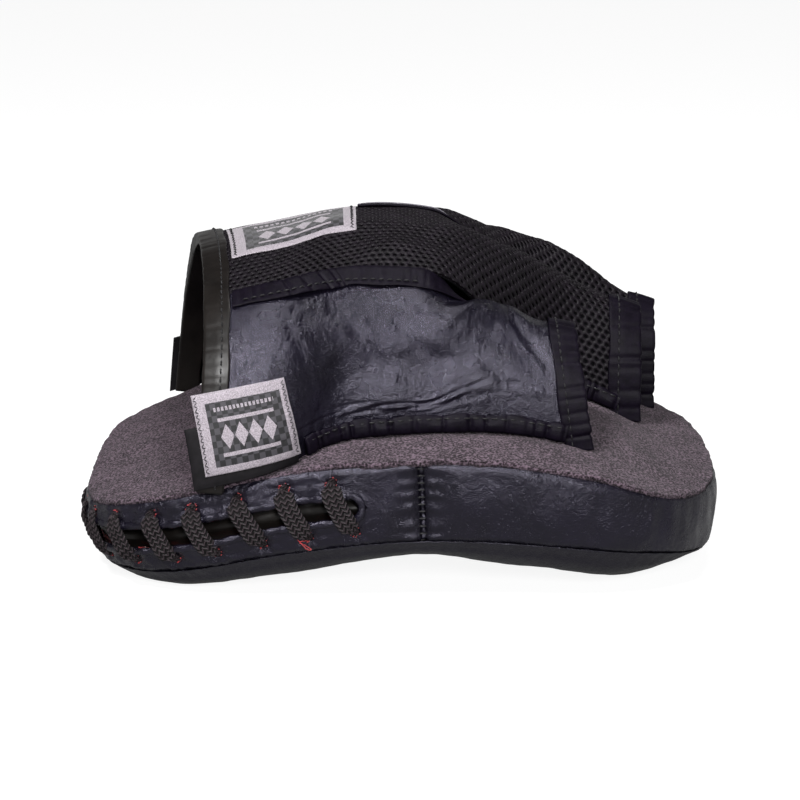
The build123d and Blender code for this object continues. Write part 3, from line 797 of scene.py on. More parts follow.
def punch(runs, z, height, outer, keep):
    """Moves the grid round each lace hole on to its circle and drops the cells inside."""
    for hole_run, hole_share in HOLES:
        j = np.where(np.abs(runs - hole_run) < HOLE_RADIUS * 2.2)[0]
        if not len(j):
            continue
        da = runs[j][None, :] - hole_run
        db = z[:, j] - hole_share * height[None, j]
        away = np.hypot(da, db)
        near = away < HOLE_RADIUS * 1.22
        grow = np.where(near & (away > HOLE_RADIUS * 0.55), HOLE_RADIUS / np.maximum(away, 1e-6), 1)
        outer["run"][:, j] += da * (grow - 1)
        outer["z"][:, j] += db * (grow - 1)
        inside = away < HOLE_RADIUS * 0.56
        cell = inside[:-1, :-1] | inside[1:, :-1] | inside[:-1, 1:] | inside[1:, 1:]
        keep[:, j[:-1]] &= ~cell


def gusset(name, start, stop, slotted, node):
    """Leather side wall between two seams, with the lacing slot and holes if slotted."""
    columns = int((stop - start) / 0.62)
    runs = np.linspace(start, stop, columns)
    x = wall_at(runs, 0.5, 0.0)[:, 0]
    height = wall_rise(x)
    top = height - BACK_THICK
    middle = SLOT_LEVEL * height
    half = slot_half(x) if slotted else 0 * x
    low = np.linspace(0, 1, ROWS_BELOW)[:, None] * (middle - half)[None, :]
    high = (middle + half)[None, :] + np.linspace(0, 1, ROWS_ABOVE)[:, None] * (top - middle - half)[None, :]
    z = np.concatenate([low, high])
    keep = np.ones((len(z) - 1, columns - 1), bool)
    keep[ROWS_BELOW - 1, :] = False
    grid = {"run": np.broadcast_to(runs, z.shape).copy(), "z": z.copy()}
    if slotted:
        punch(runs, z, height, grid, keep)
    share = grid["z"] / height[None, :]
    out = wall_relief(grid["run"], share, x[None, :])
    if slotted:
        near_slot = np.abs(grid["z"] - middle[None, :]) - half[None, :]
        out = out + 0.4 * bump(near_slot, 0, 2.2) * (half > 0.5)[None, :]
    outer = wall_at(grid["run"], share, out)
    inner = wall_at(grid["run"], share, out - WALL_THICK)
    return place(sheet_piece(name, outer, inner, keep), LEATHER, "leather", node)


def seam_welt(name, seam, node):
    """Sunken cord between the two gussets, with the seam's stitches across it."""
    share = np.linspace(0.02, 0.93, 90)
    run = np.full(len(share), seam)
    out = wall_relief(run, share, wall_at(run, share, 0.0)[:, 0])
    points = wall_at(run, share, out - WELT_DEPTH)
    normals = wall_out(run)
    along = unit(np.gradient(points, axis=0))
    sides = unit(np.cross(along, normals))
    profile = oval(12, 1.05, 0.75, 0.4)

    def relief(run, a, b):
        return a, b * (1 + 0.15 * np.sin(run * 2.4))

    place(swept(name, points, sides, normals, profile, relief), LEATHER, "leather", node)
    paths = []
    run = seam + np.array([-1.6, -0.55, 0.55, 1.6])
    for level in np.linspace(0.09, 0.88, 10):
        x = wall_at(seam + np.array([-1.5, -0.6, 0.6, 1.5]), np.full(4, level), 0.0)[:, 0]
        lift = wall_relief(run, np.full(4, level), x) + np.array([-0.2, 0.45, 0.45, -0.2])
        paths.append(wall_at(run, np.full(4, level), lift))
    return place(tubes(name + "_stitches", paths, 0.34), THREAD, "binding")


def slot_piping():
    """Rolled leather lip round the lacing slot."""
    near_x = run_at(SLOT_CENTRE_X)
    far_x = RUN[TURN] - near_x
    bend = np.linspace(-pi / 2, pi / 2, 40)
    straight = np.linspace(near_x, far_x, 620)
    r, edge = LIP_RADIUS, np.full(620, LIP_RADIUS)
    far_end, near_end = far_x + r * np.cos(bend[::-1]), near_x - r * np.cos(bend)
    runs = np.concatenate([straight, far_end, straight[::-1], near_end])
    level = np.concatenate([edge, r * np.sin(bend[::-1]), -edge, r * np.sin(bend)])
    x = wall_at(runs, 0.5, 0.0)[:, 0]
    height = wall_rise(x)
    share = SLOT_LEVEL + level / height
    out = wall_relief(runs, share, x)
    points = wall_at(runs, share, out - 0.1)
    normals = wall_out(runs)
    along = unit(np.roll(points, -1, axis=0) - np.roll(points, 1, axis=0))
    sides = unit(np.cross(along, normals))
    profile = oval(14, 1.5, 1.2, 0.2)

    def relief(run, a, b):
        swell = 1 + 0.10 * np.sin(run * 1.1 + 2 * np.sin(run / 9))
        return a * swell, b * swell

    piece = swept("slot_piping_roll", points, sides, normals, profile, relief, closed=True)
    return place(piece, LEATHER, "leather", "slot_piping")


def inside_strip(name, past, level, half, depth, thick, punched, material, slot, node, seed):
    """Strip behind the wall, centred on a share of its height, running past the last lace holes."""
    start, stop = LACE_START - past, LACE_STOP + past
    columns = int((stop - start) / 0.8)
    runs = np.linspace(start, stop, columns)
    x = wall_at(runs, 0.5, 0.0)[:, 0]
    height = wall_rise(x)
    z = level * height[None, :] + np.linspace(-half, half, 22)[:, None]
    keep = np.ones((21, columns - 1), bool)
    grid = {"run": np.broadcast_to(runs, z.shape).copy(), "z": z.copy()}
    if punched:
        punch(runs, z, height, grid, keep)
    share = grid["z"] / height[None, :]
    wobble = 0.3 * waves(grid["run"], grid["z"] * 2.5, 22, seed)
    if not punched:
        level_z = grid["z"] - level * height[None, :]
        wobble = wobble + 1.5 * bump(level_z, -1.2, 2.4) - 0.8 * bump(level_z, 2.2, 0.7)
    outer = wall_at(grid["run"], share, wobble - depth)
    inner = wall_at(grid["run"], share, wobble - depth - thick)
    return place(sheet_piece(name, outer, inner, keep), material, slot, node)


# ------------------------------------------------------------ back panel, strike face, padding
def polar(inset, columns, rows, edge_share):
    """Polar grid over the plan: distances round the rim, r from 0 to 1, and x and y."""
    runs = np.linspace(0, LOOP, columns, endpoint=False)
    edge = wall_at(runs, edge_share, -inset)
    r = 1 - (1 - np.linspace(0, 1, rows)) ** 1.7
    centre = np.array([PLAN_CENTRE_X, 0.0])
    xy = centre + (edge[None, :, :2] - centre) * r[:, None, None]
    return runs, r, xy[..., 0], xy[..., 1]


def back_panel():
    """Suede panel with a ragged cut edge that stands a little proud of the wall."""
    runs, r, x, y = polar(0.0, 620, 90, 0.97)
    rag = 0.8 + 0.28 * waves(runs, 0 * runs, 23, 11) + 0.12 * waves(runs, 0 * runs, 4, 12)
    outward = wall_out(runs)[None, :, :2]
    grow = bump(r, 1, 0.02)[:, None]
    x = x + outward[..., 0] * rag * grow
    y = y + outward[..., 1] * rag * grow
    lift = 0.35 * waves(x, y, 40, 13) + 0.14 * waves(x, y, 10, 14)
    ripple = np.sin(runs * tau / 9 + 2 * np.sin(runs / 17))[None, :]
    lift = lift + (0.07 * ripple - 0.15) * bump(r, 1, 0.03)[:, None]
    top = np.stack([x, y, back_z(x, y) + lift - 0.2], -1)
    under = top - np.array([0, 0, BACK_THICK])
    return place(sheet_piece("back_panel_suede", top, under, wrap=True), SUEDE, "suede", "back_panel")


def strike_face():
    """Domed padded leather face, rolled at the rim and puckered where it is sewn on."""
    runs, r, x, y = polar(0.2, 640, 96, 0.0)
    rim = glide(STRIKE_EDGE, x)
    fall = 1 - r[:, None] ** STRIKE_FULLNESS
    z = rim - 0.3 - (rim - glide(STRIKE_LOW, x)) * fall - 1.9 * (1 - r[:, None] ** 45)
    pleat = np.sin(runs * tau / 6.4 + 1.7 * np.sin(runs / 13) + np.sin(runs / 5.1))[None, :]
    near_rim = bump(1 - r, 0.012, 0.03)[:, None]
    bulge = (1.0 + 0.07 * pleat) * bump(1 - r, 0.02, 0.022)[:, None]
    outward = wall_out(runs)[None, :, :2]
    x, y = x + outward[..., 0] * bulge, y + outward[..., 1] * bulge
    z = z + 0.08 * pleat * near_rim + 0.5 * waves(x, y, 46, 21) * fall + 0.12 * waves(x, y, 9, 22) * fall
    outer = np.stack([x, y, np.maximum(z, 0.0)], -1)
    middle = np.array([PLAN_CENTRE_X, 0, 0])
    inward = (outer - middle) * np.array([-0.022, -0.022, 0]) * bump(r, 1, 0.1)[:, None, None]
    inner = outer + inward + np.array([0, 0, 2.4]) * fall[..., None] + np.array([0, 0, 0.1])
    piece = sheet_piece("strike_face_pad", inner, outer, wrap=True)
    return place(piece, STRIKE_LEATHER, "leather", "strike_face")


def foam_layer(name, node, low, high, inset):
    """Padding slab, hidden inside the cover."""
    _, _, x, y = polar(inset, 150, 24, 0.0)
    pores = 0.12 * waves(x, y, 7, 31)
    bottom, top = low(x, y), high(x, y)
    top = np.maximum(top, bottom + 0.4)
    upper = np.stack([x, y, top - 0.2 + pores], -1)
    lower = np.stack([x, y, bottom + 0.2 + pores], -1)
    return place(sheet_piece(name, upper, lower, wrap=True), FOAM, "foam", node)


# ------------------------------------------------------------ lace
def ribbon(name, points, normals, widths, thick=LACE_THICK):
    """Flat braided ribbon: chevron ribs in relief across its width."""
    run = distances(points)
    even = np.linspace(0, run[-1], int(run[-1] / 0.25))
    points = part_way(even, run, points)
    normals = unit(part_way(even, run, normals))
    wide = np.interp(even, run, widths) / 2
    along = unit(np.gradient(points, axis=0))
    normals = square_to(normals, along)
    sides = np.cross(along, normals)
    u = np.linspace(-1, 1, 25)
    zigzag = 2.6 * np.abs(((u[None, :] + 1) * 1.5) % 1 - 0.5)
    chevron = np.sin((even[:, None] + zigzag) * tau / BRAID_PITCH)
    fold = 0.12 * np.cos(u * pi * 3)[None, :]
    crown = thick / 2 * (1 - np.abs(u[None, :]) ** 6) * (2.2 - wide[:, None] / 4.5 * 1.2)
    up = np.maximum(crown + 0.30 * chevron + fold, 0.08)
    side = u[None, :] * wide[:, None] * (1 + 0.02 * np.sin(even[:, None] * 3.7))
    top = points[:, None] + sides[:, None] * side[..., None] + normals[:, None] * up[..., None]
    low = points[:, None] + sides[:, None] * side[..., None] - normals[:, None] * up[..., None] * 0.8
    uv = np.stack(np.broadcast_arrays((u[None, :] + 1) / 2, even[:, None] / 100), -1)
    return sheet_piece(name, top, low, uv=uv)


def lace():
    """The whole lace as one ribbon: over the slot outside, back up behind the wall."""
    points, normals, widths = [], [], []

    def go(run, share, out, wide):
        """Next point of the lace; outside the wall it rides on the wall's relief."""
        run, share = np.array([run]), np.array([share])
        relief = 0
        if out > 0:
            relief = max(float(wall_relief(run, share, wall_at(run, share, 0.0)[:, 0])[0]), -0.6)
        points.append(wall_at(run, share, out + relief)[0])
        normals.append(wall_out(run)[0])
        widths.append(wide)

    inside = -(WALL_THICK + 3.2)
    rng = np.random.default_rng(41)
    for i, run in enumerate(LACE_RUNS):
        upper, lower = run + LACE_SLANT, run - LACE_SLANT
        turn = rng.uniform(-0.7, 0.7)
        go(upper, UPPER_HOLES, inside, LACE_PINCH)
        go(upper, UPPER_HOLES, 0.1, LACE_PINCH)
        for k, share in enumerate(np.linspace(UPPER_HOLES - 0.02, LOWER_HOLES + 0.02, 13)):
            f = k / 12
            spot = upper + (lower - upper) * f + turn * sin(pi * f)
            wide = 3.4 + (LACE_WIDTH - 3.4) * min(1, 3.2 * sin(pi * f) ** 0.8)
            go(spot, share, 1.5 + 0.4 * sin(pi * f), wide)
        go(lower, LOWER_HOLES, 0.1, LACE_PINCH)
        go(lower, LOWER_HOLES, inside, LACE_PINCH)
        target = LACE_RUNS[i + 1] + LACE_SLANT if i + 1 < len(LACE_RUNS) else run - LACE_SLANT - 12
        last = UPPER_HOLES if i + 1 < len(LACE_RUNS) else LOWER_HOLES + 0.3
        for f in np.linspace(0.12, 0.88, 6):
            go(lower + (target - lower) * f, LOWER_HOLES + (last - LOWER_HOLES) * f, inside, 4.6)
    piece = ribbon("lace_ribbon", np.array(points), np.array(normals), np.array(widths))
    return place(piece, BRAID, "lace", "lace")


def red_fibres():
    """Frayed red thread at the lace holes, and one loose end."""
    rng = np.random.default_rng(43)
    paths = []
    for run, share in HOLES:
        for _ in range(9):
            angle = rng.uniform(0, tau)
            a, b = 1.9 * cos(angle), 1.9 * sin(angle)
            reach = rng.uniform(0.5, 1.15)
            steps = np.linspace(0, 1, 5)
            x = wall_at(np.full(5, run), np.full(5, share), 0.0)[:, 0]
            height = wall_rise(x)
            spot = run + a * (0.9 + 0.35 * steps * reach)
            level = share + b * (0.9 + 0.35 * steps * reach) / height
            out = np.array([-1.0, 0.0, 0.45, 0.5, 0.35]) * reach + wall_relief(spot, level, x)
            paths.append(wall_at(spot, level, out))
    loose_run, loose_share = HOLES[len(LACE_RUNS) + 1]
    f = np.linspace(0, 1, 24)
    spot = loose_run + 2.0 * f + 2.2 * np.sin(f * 7)
    level = loose_share - 0.05 + 0.16 * f * np.cos(f * 5)
    x = wall_at(spot, level, 0.0)[:, 0]
    paths.append(wall_at(spot, level, wall_relief(spot, level, x) + 0.5 + 0.9 * np.sin(f * 6) ** 2))
    return place(tubes("red_fibres", paths, 0.17, 5), RED, "red_tape")


# ------------------------------------------------------------ hand cover
def seam_rise(t):
    """How far the thumb leather runs on past the sleeve line, as a share of its width."""
    return 0.085 * (1 - ease(t, -62, 2))


def cover_relief(sleeve, t, v):
    """How far the cover's skin stands out of its drafted shape, seam lines held."""
    t, v = np.broadcast_arrays(np.asarray(t, float), np.asarray(v, float))
    if sleeve == "whole":
        return 0.35 * waves(t, v * 200, 30, 57)
    wide = PANEL_WIDTH[sleeve]
    q = v * wide
    held = np.clip(np.minimum(v, 1 - v) * 6, 0, 1) * np.clip((SLEEVES[sleeve]["end"] - t) / 12, 0.2, 1)
    held = held * np.clip((t - WRIST_X) / 10, 0.2, 1)
    out = held * (0.55 * waves(t, q, 38, 51 + len(sleeve)) + 0.1 * waves(t, q, 12, 58))
    if sleeve == "thumb":
        folds = 0
        for start, stop, width, depth in THUMB_FOLDS:
            folds = folds + crease(t, q, start, stop, width, depth)
        pull = np.sin(t * tau / 5.2 + 1.3 * np.sin(t / 7.0))
        top = pull * bump(q, wide - 14, 5) * bump(t, -34, 18)
        foot = np.sin(t * tau / 4.6 + np.sin(t / 5.0)) * bump(q, 6, 5)
        rng = np.random.default_rng(77)
        for _ in range(20):
            a, b = rng.uniform(-10, 66), rng.uniform(8, 60)
            turn, long = rng.normal(-0.6, 0.3), rng.uniform(9, 20)
            stop = (a + long * cos(turn), b + long * sin(turn))
            folds = folds + crease(t, q, (a, b), stop, rng.uniform(1.3, 2.2), rng.uniform(0.12, 0.3))
        crinkle = waves(t * 0.4, q * 2.0, 6, 63) * bump(q, 10, 3.2) * bump(t, 10, 40)
        out = out + held * (0.36 * folds + 0.08 * top)
        out = out + (0.14 * foot + 0.45 * crinkle) * np.clip(held * 2, 0, 1)
        for depth, at_t, wide_t, at_q, wide_q in THUMB_HOLLOWS:
            out = out + depth * held * bump(t, at_t, wide_t) * bump(q, at_q, wide_q)
    else:
        if sleeve == "rear":
            out = out + 4.6 * bump(t, 27, 17) * bump(v, 0.2, 0.2) * np.clip(v * 7, 0, 1)
        drape = 0.5 * bump(t, 40, 20) * bump(v, 0.35, 0.2) * waves(t, q, 24, 59)
        out = out + held * drape
    return out


def cover_at(sleeve, t, v, lift=0.0):
    """Point of the creased cover, lifted off its skin, with its frame."""
    point, along, across, normal = cover_frame(sleeve, t, v)
    high = (cover_relief(sleeve, t, v) + lift)[..., None]
    return point + normal * high, along, across, normal


def cover_sheet(name, sleeve, t, v, low, high, more=0.0, uv=None):
    """Sheet that follows the cover between two lifts off its skin."""
    t, v = np.broadcast_arrays(t, v)
    outer = cover_at(sleeve, t, v, high + more)[0]
    inner = cover_at(sleeve, t, v, low)[0]
    return sheet_piece(name, outer, inner, uv=uv)


def thumb_sleeve():
    """Creased leather panel that runs on into the thumb sleeve."""
    t = np.linspace(WRIST_X, SLEEVES["thumb"]["end"], 380)[:, None]
    v = np.linspace(0, 1, 205)[None, :] * (1 + seam_rise(t))
    piece = cover_sheet("thumb_sleeve_leather", "thumb", t, v, -COVER_THICK, 0.0)
    return place(piece, LEATHER, "leather", "thumb_sleeve")


def mesh_sleeve(sleeve, node):
    """Knitted mesh sleeve: a net with real round holes over a thin lining."""
    end = SLEEVES[sleeve]["end"]
    laid = Flat(sleeve)
    points = 12
    around = np.arange(points) * tau / points + pi / 6
    corner = MESH_PITCH / 2 / cos(pi / 6)
    to_side = np.where(np.arange(points) % 2 == 0, corner, MESH_PITCH / 2)
    centres = []
    for i, q in enumerate(np.arange(0, laid.width.max() + MESH_PITCH, MESH_PITCH * sqrt(3) / 2)):
        shift = MESH_PITCH / 2 * (i % 2)
        centres += [(t, q) for t in np.arange(WRIST_X - MESH_PITCH, end + MESH_PITCH, MESH_PITCH) + shift]
    centres = np.array(centres)
    v = laid.across(centres[:, 0], centres[:, 1])
    last_v = 1 + 0.3 * MESH_PITCH / 70
    inside = (v < last_v) & (centres[:, 0] > WRIST_X - 1.2) & (centres[:, 0] < end + 1.2)
    centres = centres[inside]
    t = centres[:, 0, None] + np.cos(around) * to_side
    q = centres[:, 1, None] + np.sin(around) * to_side
    hole_t = centres[:, 0, None] + np.cos(around) * MESH_HOLE
    hole_q = centres[:, 1, None] + np.sin(around) * MESH_HOLE
    rings = []
    over, lip, under = 0.10, -0.10, -0.9
    for at_t, at_q, lift in ((t, q, over), (hole_t, hole_q, lip), (hole_t, hole_q, under), (t, q, under)):
        at_t = np.clip(at_t, WRIST_X, end)
        start = seam_rise(at_t) if sleeve == "front" else 0
        at_v = np.clip(laid.across(at_t, np.maximum(at_q, 0)), start, 1)
        rings.append(cover_at(sleeve, at_t, at_v, lift)[0])
    number = len(centres)
    block = number * points
    faces = []
    for ring, follower in ((0, 1), (1, 2), (2, 3)):
        for i in range(number):
            for k in range(points):
                a, b = i * points + k, i * points + (k + 1) % points
                faces.append((ring * block + a, ring * block + b, follower * block + b, follower * block + a))
    net = add_mesh(node + "_net", np.concatenate([r.reshape(-1, 3) for r in rings]), faces)
    clean(net, weld=0.03, sliver=0.0002)
    place(net, MESH, "mesh", node)
    t = np.linspace(WRIST_X, end, 130)[:, None]
    v = np.linspace(0, 1, 90)[None, :]
    if sleeve == "front":
        v = seam_rise(t) + (1 - seam_rise(t)) * v
    lining = cover_sheet(node + "_lining", sleeve, t, v, -COVER_THICK, -0.95)
    return place(lining, LINING, "mesh", node)


def gathers(run, seed, gap, width):
    """Depth of the irregular puckers along a gathered tape."""
    rng = np.random.default_rng(seed)
    depth, at = 0 * run, rng.uniform(0, gap)
    while at < run.max():
        depth = depth + rng.uniform(0.35, 1.0) * bump(run, at, width * rng.uniform(0.8, 1.6))
        at += gap * rng.uniform(0.35, 1.7)
    return depth


def end_binding(name, sleeve, t, facing, width, material, slot, node, pucker):
    """Tape folded round an open edge, puckered along its run, with a stitch row."""
    v = np.linspace(0, 1, 420)
    point, along, across, normal = cover_at(sleeve, t + 0 * v, v)
    outwards = unit(np.cross(normal, across))
    outwards = outwards * facing * np.sign(np.sum(outwards * along, -1, keepdims=True))
    inner, thick = -COVER_THICK - 0.1, TAPE_THICK
    corners = [
        (-width, 0.15), (-width, thick * 0.8), (-width * 0.5, thick * 1.1), (thick, thick),
        (thick, inner - thick), (-width * 0.5, inner - thick * 1.1), (-width, inner - thick), (-width, inner),
        (-0.3, inner), (-0.3, 0.15),
    ]
    profile = rounded(corners, 0.8, 0.7)

    def relief(run, a, b):
        dips = gathers(run, 80 + len(name) + int(width), 6.0, 0.9)
        swell = 0.5 + 0.5 * np.sin(run / 2.3 + 2 * np.sin(run / 9.7) + len(name))
        edge = np.clip((a + width) / width, 0, 1)
        outside = b > -1
        b = b + np.where(outside, pucker * (0.9 * swell - 2.2 * dips) * (0.35 + 0.65 * edge), 0)
        a = a + np.where(a > 0, pucker * (swell - 2.0 * dips), 0.25 * np.sin(run / 4.1) * (a < -width * 0.8))
        return a, b

    piece = place(swept(name + "_tape", point, outwards, normal, profile, relief), material, slot, node)
    line = point + outwards * (-width * 0.68) + normal * (thick * 1.12)
    place(stitches(name + "_stitches", line, normal, 3.3, 2.5, 0.3, 0.0), THREAD, slot)
    return piece


def base_binding(name, sleeve, t0, t1, v, node):
    """Puffy gathered tape along the foot of a sleeve."""
    t = np.linspace(t0, t1, 420)
    point, along, across, normal = cover_at(sleeve, t, np.full(420, float(v)))
    up = square_to(across if v < 0.5 else -across, along)
    profile = rounded([(0.05, 0.1), (1.9, 0.15), (2.5, 2.2), (2.2, 4.8), (1.3, 7.0), (0.05, 7.1)], 0.6, 0.8)

    def relief(run, a, b):
        dips = gathers(run, 90 + len(name), 6.5, 0.8)
        swell = 0.5 + 0.5 * np.sin(run / 3.1 + 1.8 * np.sin(run / 7.7))
        out = np.clip(a, 0, 1.5) / 1.5
        a = a + out * (0.5 * swell - 0.95 * dips) * (0.4 + 0.6 * (b < 5))
        return a, b + 0.45 * (b > 4) * np.sin(run / 3.1) - 0.5 * (b > 4) * dips

    piece = place(swept(name + "_tape", point, normal, up, profile, relief), NYLON, "binding", node)
    line = point + normal * 1.95 + up * 5.6
    place(stitches(name + "_stitches", line, normal, 3.6, 2.5, 0.28, 0.0), THREAD, "binding")
    return piece


def seam_line(sleeve, t):
    """Line of the seam at the far edge of a panel, with its frame."""
    return cover_at(sleeve, t, 1 + seam_rise(t) if sleeve == "thumb" else np.ones(len(t)))


def seam_tape(name, sleeve, t0, t1, low, high, node, pucker, window):
    """Flat tape over the seam at the far edge of a panel."""
    point, along, across, normal = seam_line(sleeve, np.linspace(t0, t1, 380))
    side = square_to(across, along)
    bend = high * 0.2 + low * 0.1
    corners = [(low, 0.12), (low, 0.8), (low * 0.55, 1.1), (bend, 1.1), (high, 0.8), (high, 0.12)]
    profile = rounded(corners, 0.7, 0.5)

    def relief(run, a, b):
        dips = gathers(run, 95 + len(name), 5.5, 0.8)
        strength = 0.35 + bump(run, window, 14)
        top = b > 0.5
        narrow = 1 - 0.75 * ease(run, run.max() - 16, run.max())
        grown = 5.2 * ease(run, run.max() - 34, run.max() - 14) if sleeve == "thumb" else 0
        a = a * narrow + (a > 0) * grown
        return a + 0.3 * np.sin(run / 3.3) * (a < low * 0.8), b - top * pucker * strength * dips

    return place(swept(name, point, side, normal, profile, relief), NYLON, "binding", node)


def band_patch(name, sleeve, t_span, v_span, lift_span, material, slot, node, tilt=0.0):
    """Tab or label laid on the cover between two lifts, with flat UVs and a rolled edge."""
    a = np.linspace(0, 1, 90)[:, None]
    b = np.linspace(0, 1, 70)[None, :]
    t = t_span[0] + (t_span[1] - t_span[0]) * a + tilt * (b - 0.5)
    v = v_span[0] + (v_span[1] - v_span[0]) * b + 0.0016 * tilt * (a - 0.5) * 2
    edge = np.minimum(np.minimum(a, 1 - a) * 40, np.minimum(b, 1 - b) * 24)
    uv = np.stack(np.broadcast_arrays(a, b), -1)
    piece = cover_sheet(name, sleeve, t, v, *lift_span, -0.25 * bump(edge, 0, 1), uv)
    place(piece, material, slot, node)
    return np.broadcast_arrays(t, v)


def label_stitches(name, sleeve, t, v, lift):
    """Zigzag stitching down both ends of a label."""
    paths = []
    rows, columns = t.shape
    for end in (3, rows - 4):
        j = np.linspace(2, columns - 3, 27).astype(int)
        for k, (j0, j1) in enumerate(zip(j, j[1:])):
            wide = 1.3 if k % 2 else -1.3
            ts = np.array([t[end, j0] + wide * -0.5, (t[end, j0] + t[end, j1]) / 2, t[end, j1] + wide * 0.5])
            vs = np.array([v[end, j0], (v[end, j0] + v[end, j1]) / 2, v[end, j1]])
            spot = cover_at(sleeve, ts, vs, lift + np.array([-0.15, 0.16, -0.15]))[0]
            paths.append(spot)
    return place(tubes(name, paths, 0.2, 5), THREAD, "label")


def palm_grip():
    """Padded grip on the back panel, inside the cover: a crowned leather pad with a seam."""
    long, wide, tall = 32.0, 23.0, 23.0
    middle_x, middle_y = -8.0, 6.0
    a = np.linspace(0, tau, 240, endpoint=False)[None, :]
    r = np.sin(np.linspace(0, pi / 2, 60))[:, None]
    x, y = middle_x + long * r * np.cos(a), middle_y + wide * r * np.sin(a)
    rise = (tall - 0.6) * np.sqrt(np.clip(1 - r**2, 0, 1))
    seam = bump(y, middle_y, 1.2) * np.clip(rise / 4, 0, 1)
    folds = 0.35 * waves(x, y, 13, 61) * np.clip(rise / 8, 0, 1)
    pleat = 0.3 * np.sin(a * 30 + np.sin(a * 5)) * bump(rise, 2, 3)
    x, y = x + pleat * np.cos(a), y + pleat * np.sin(a)
    top = np.stack(np.broadcast_arrays(x, y, back_z(x, y) + 0.2 + rise - 0.9 * seam + folds), -1)
    under = np.stack(np.broadcast_arrays(x, y, back_z(x, y) + 0.1), -1)
    piece = sheet_piece("palm_grip_pad", top, under, wrap=True)
    place(piece, LEATHER, "leather", "palm_grip_cover")
    core_x, core_y = middle_x + (x - middle_x) * 0.9, middle_y + (y - middle_y) * 0.9
    core = np.stack(np.broadcast_arrays(core_x, core_y, 0 * x), -1)
    core[..., 2] = back_z(core[..., 0], core[..., 1]) + 0.4
    dome = core + np.array([0, 0, 1.0]) * np.clip(rise - 2.4, 0.2, None)[..., None]
    place(sheet_piece("palm_grip_filling", dome, core, wrap=True), FOAM, "foam", "palm_grip_foam")


# ------------------------------------------------------------ assembly
gusset("heel_gusset_leather", NEAR_SEAM + WELT_GAP, FAR_SEAM - WELT_GAP, True, "heel_gusset")
gusset("finger_gusset_leather", FAR_SEAM + WELT_GAP, LOOP + NEAR_SEAM - WELT_GAP, False, "finger_gusset")
seam_welt("near_seam_cord", NEAR_SEAM, "near_seam_welt")
seam_welt("far_seam_cord", FAR_SEAM, "far_seam_welt")
slot_piping()
back_panel()
strike_face()
for side, level, seed in (("upper", UPPER_HOLES, 71), ("lower", LOWER_HOLES, 72)):
    inside_strip(side + "_tape", 8, level, 3.4, 2.0, 0.6, True, RED, "red_tape", side + "_eyelet_tape", seed)
inside_strip("tongue", 12, SLOT_LEVEL, 8.6, 2.9, 1.0, False, VINYL, "leather", "lace_tongue", 73)


def strike_top(x, y):
    """Inside of the strike face, where the impact foam starts."""
    return strike_z(x, y) + 2.8


def impact_top(x, y):
    """Where the impact foam ends and the foam core starts."""
    return np.maximum(glide(STRIKE_EDGE, x) + 6.0, strike_top(x, y) + 0.8)


def core_top(x, y):
    """Where the foam core ends and the back foam starts."""
    return back_z(x, y) - BACK_THICK - 8.0


foam_layer("impact_padding", "impact_foam", strike_top, impact_top, 6.6)
foam_layer("core_padding", "foam_core", lambda x, y: impact_top(x, y) + 0.1, core_top, 6.6)
foam_layer("back_padding", "back_foam", lambda x, y: core_top(x, y) + 0.1,
           lambda x, y: back_z(x, y) - BACK_THICK - 0.6, 6.6)
lace()
red_fibres()

thumb_sleeve()
mesh_sleeve("front", "front_finger_sleeve")
mesh_sleeve("rear", "rear_finger_sleeve")
for sleeve, wide, puckers in (("thumb", 9.5, 0.34), ("front", 12.0, 0.3), ("rear", 10.0, 0.26)):
    end_binding(sleeve + "_end", sleeve, SLEEVES[sleeve]["end"], 1, wide, NYLON, "binding",
                sleeve + "_end_binding", puckers)
end_binding("wrist", "whole", WRIST_X, -1, 9.0, VINYL, "wrist_vinyl", "wrist_binding", 0.07)
base_binding("thumb_base", "thumb", -36, 63.4, 0, "thumb_base_binding")
base_binding("front_base", "front", 70, 86.4, 0, "front_base_binding")
base_binding("rear_base", "rear", -44, 95.4, 1, "rear_base_binding")
seam_tape("thumb_top_tape", "thumb", -66.4, 31, -9, 0.8, "thumb_top_binding", 0.55, 30)
seam_tape("finger_ridge_tape", "front", -16, 30, -6, 0.6, "finger_ridge_binding", 0.1, 0)
point, along, across, normal = seam_line("thumb", np.linspace(-64, 9, 240))
stitch_line = point + across * -6.9 + normal * 1.25
place(stitches("thumb_top_stitches", stitch_line, normal, 3.2, 2.3, 0.3, 0.0), THREAD, "binding")
point, along, across, normal = seam_line("front", np.linspace(-16, 26, 240))
place(tubes("ridge_piping", [point + across * 0.5 + normal * 0.9], 0.55, 10), PIPING, "binding")

tab_lift, label_lift = (1.31, 2.45), (2.52, 3.12)
band_patch("near_tab_webbing", "thumb", (-80, -42.5), (0.0, 0.3), tab_lift, TAB, "tab", "near_wrist_tab",
           -5.0)
band_patch("far_tab_webbing", "rear", (-80, -46), (0.82, 1.0), tab_lift, TAB, "tab", "far_wrist_tab")
t, v = band_patch("side_label_patch", "thumb", (-77, -43.5), (0.045, 0.46), label_lift, SIDE_LABEL, "label",
                  "side_label", -7.0)
label_stitches("side_label_stitches", "thumb", t, v, 3.15)
t, v = band_patch("top_label_patch", "front", (-66, -17), (0.42, 0.95), (0.15, 0.75), TOP_LABEL, "label",
                  "top_label")
label_stitches("top_label_stitches", "front", t, v, 0.8)
palm_grip()


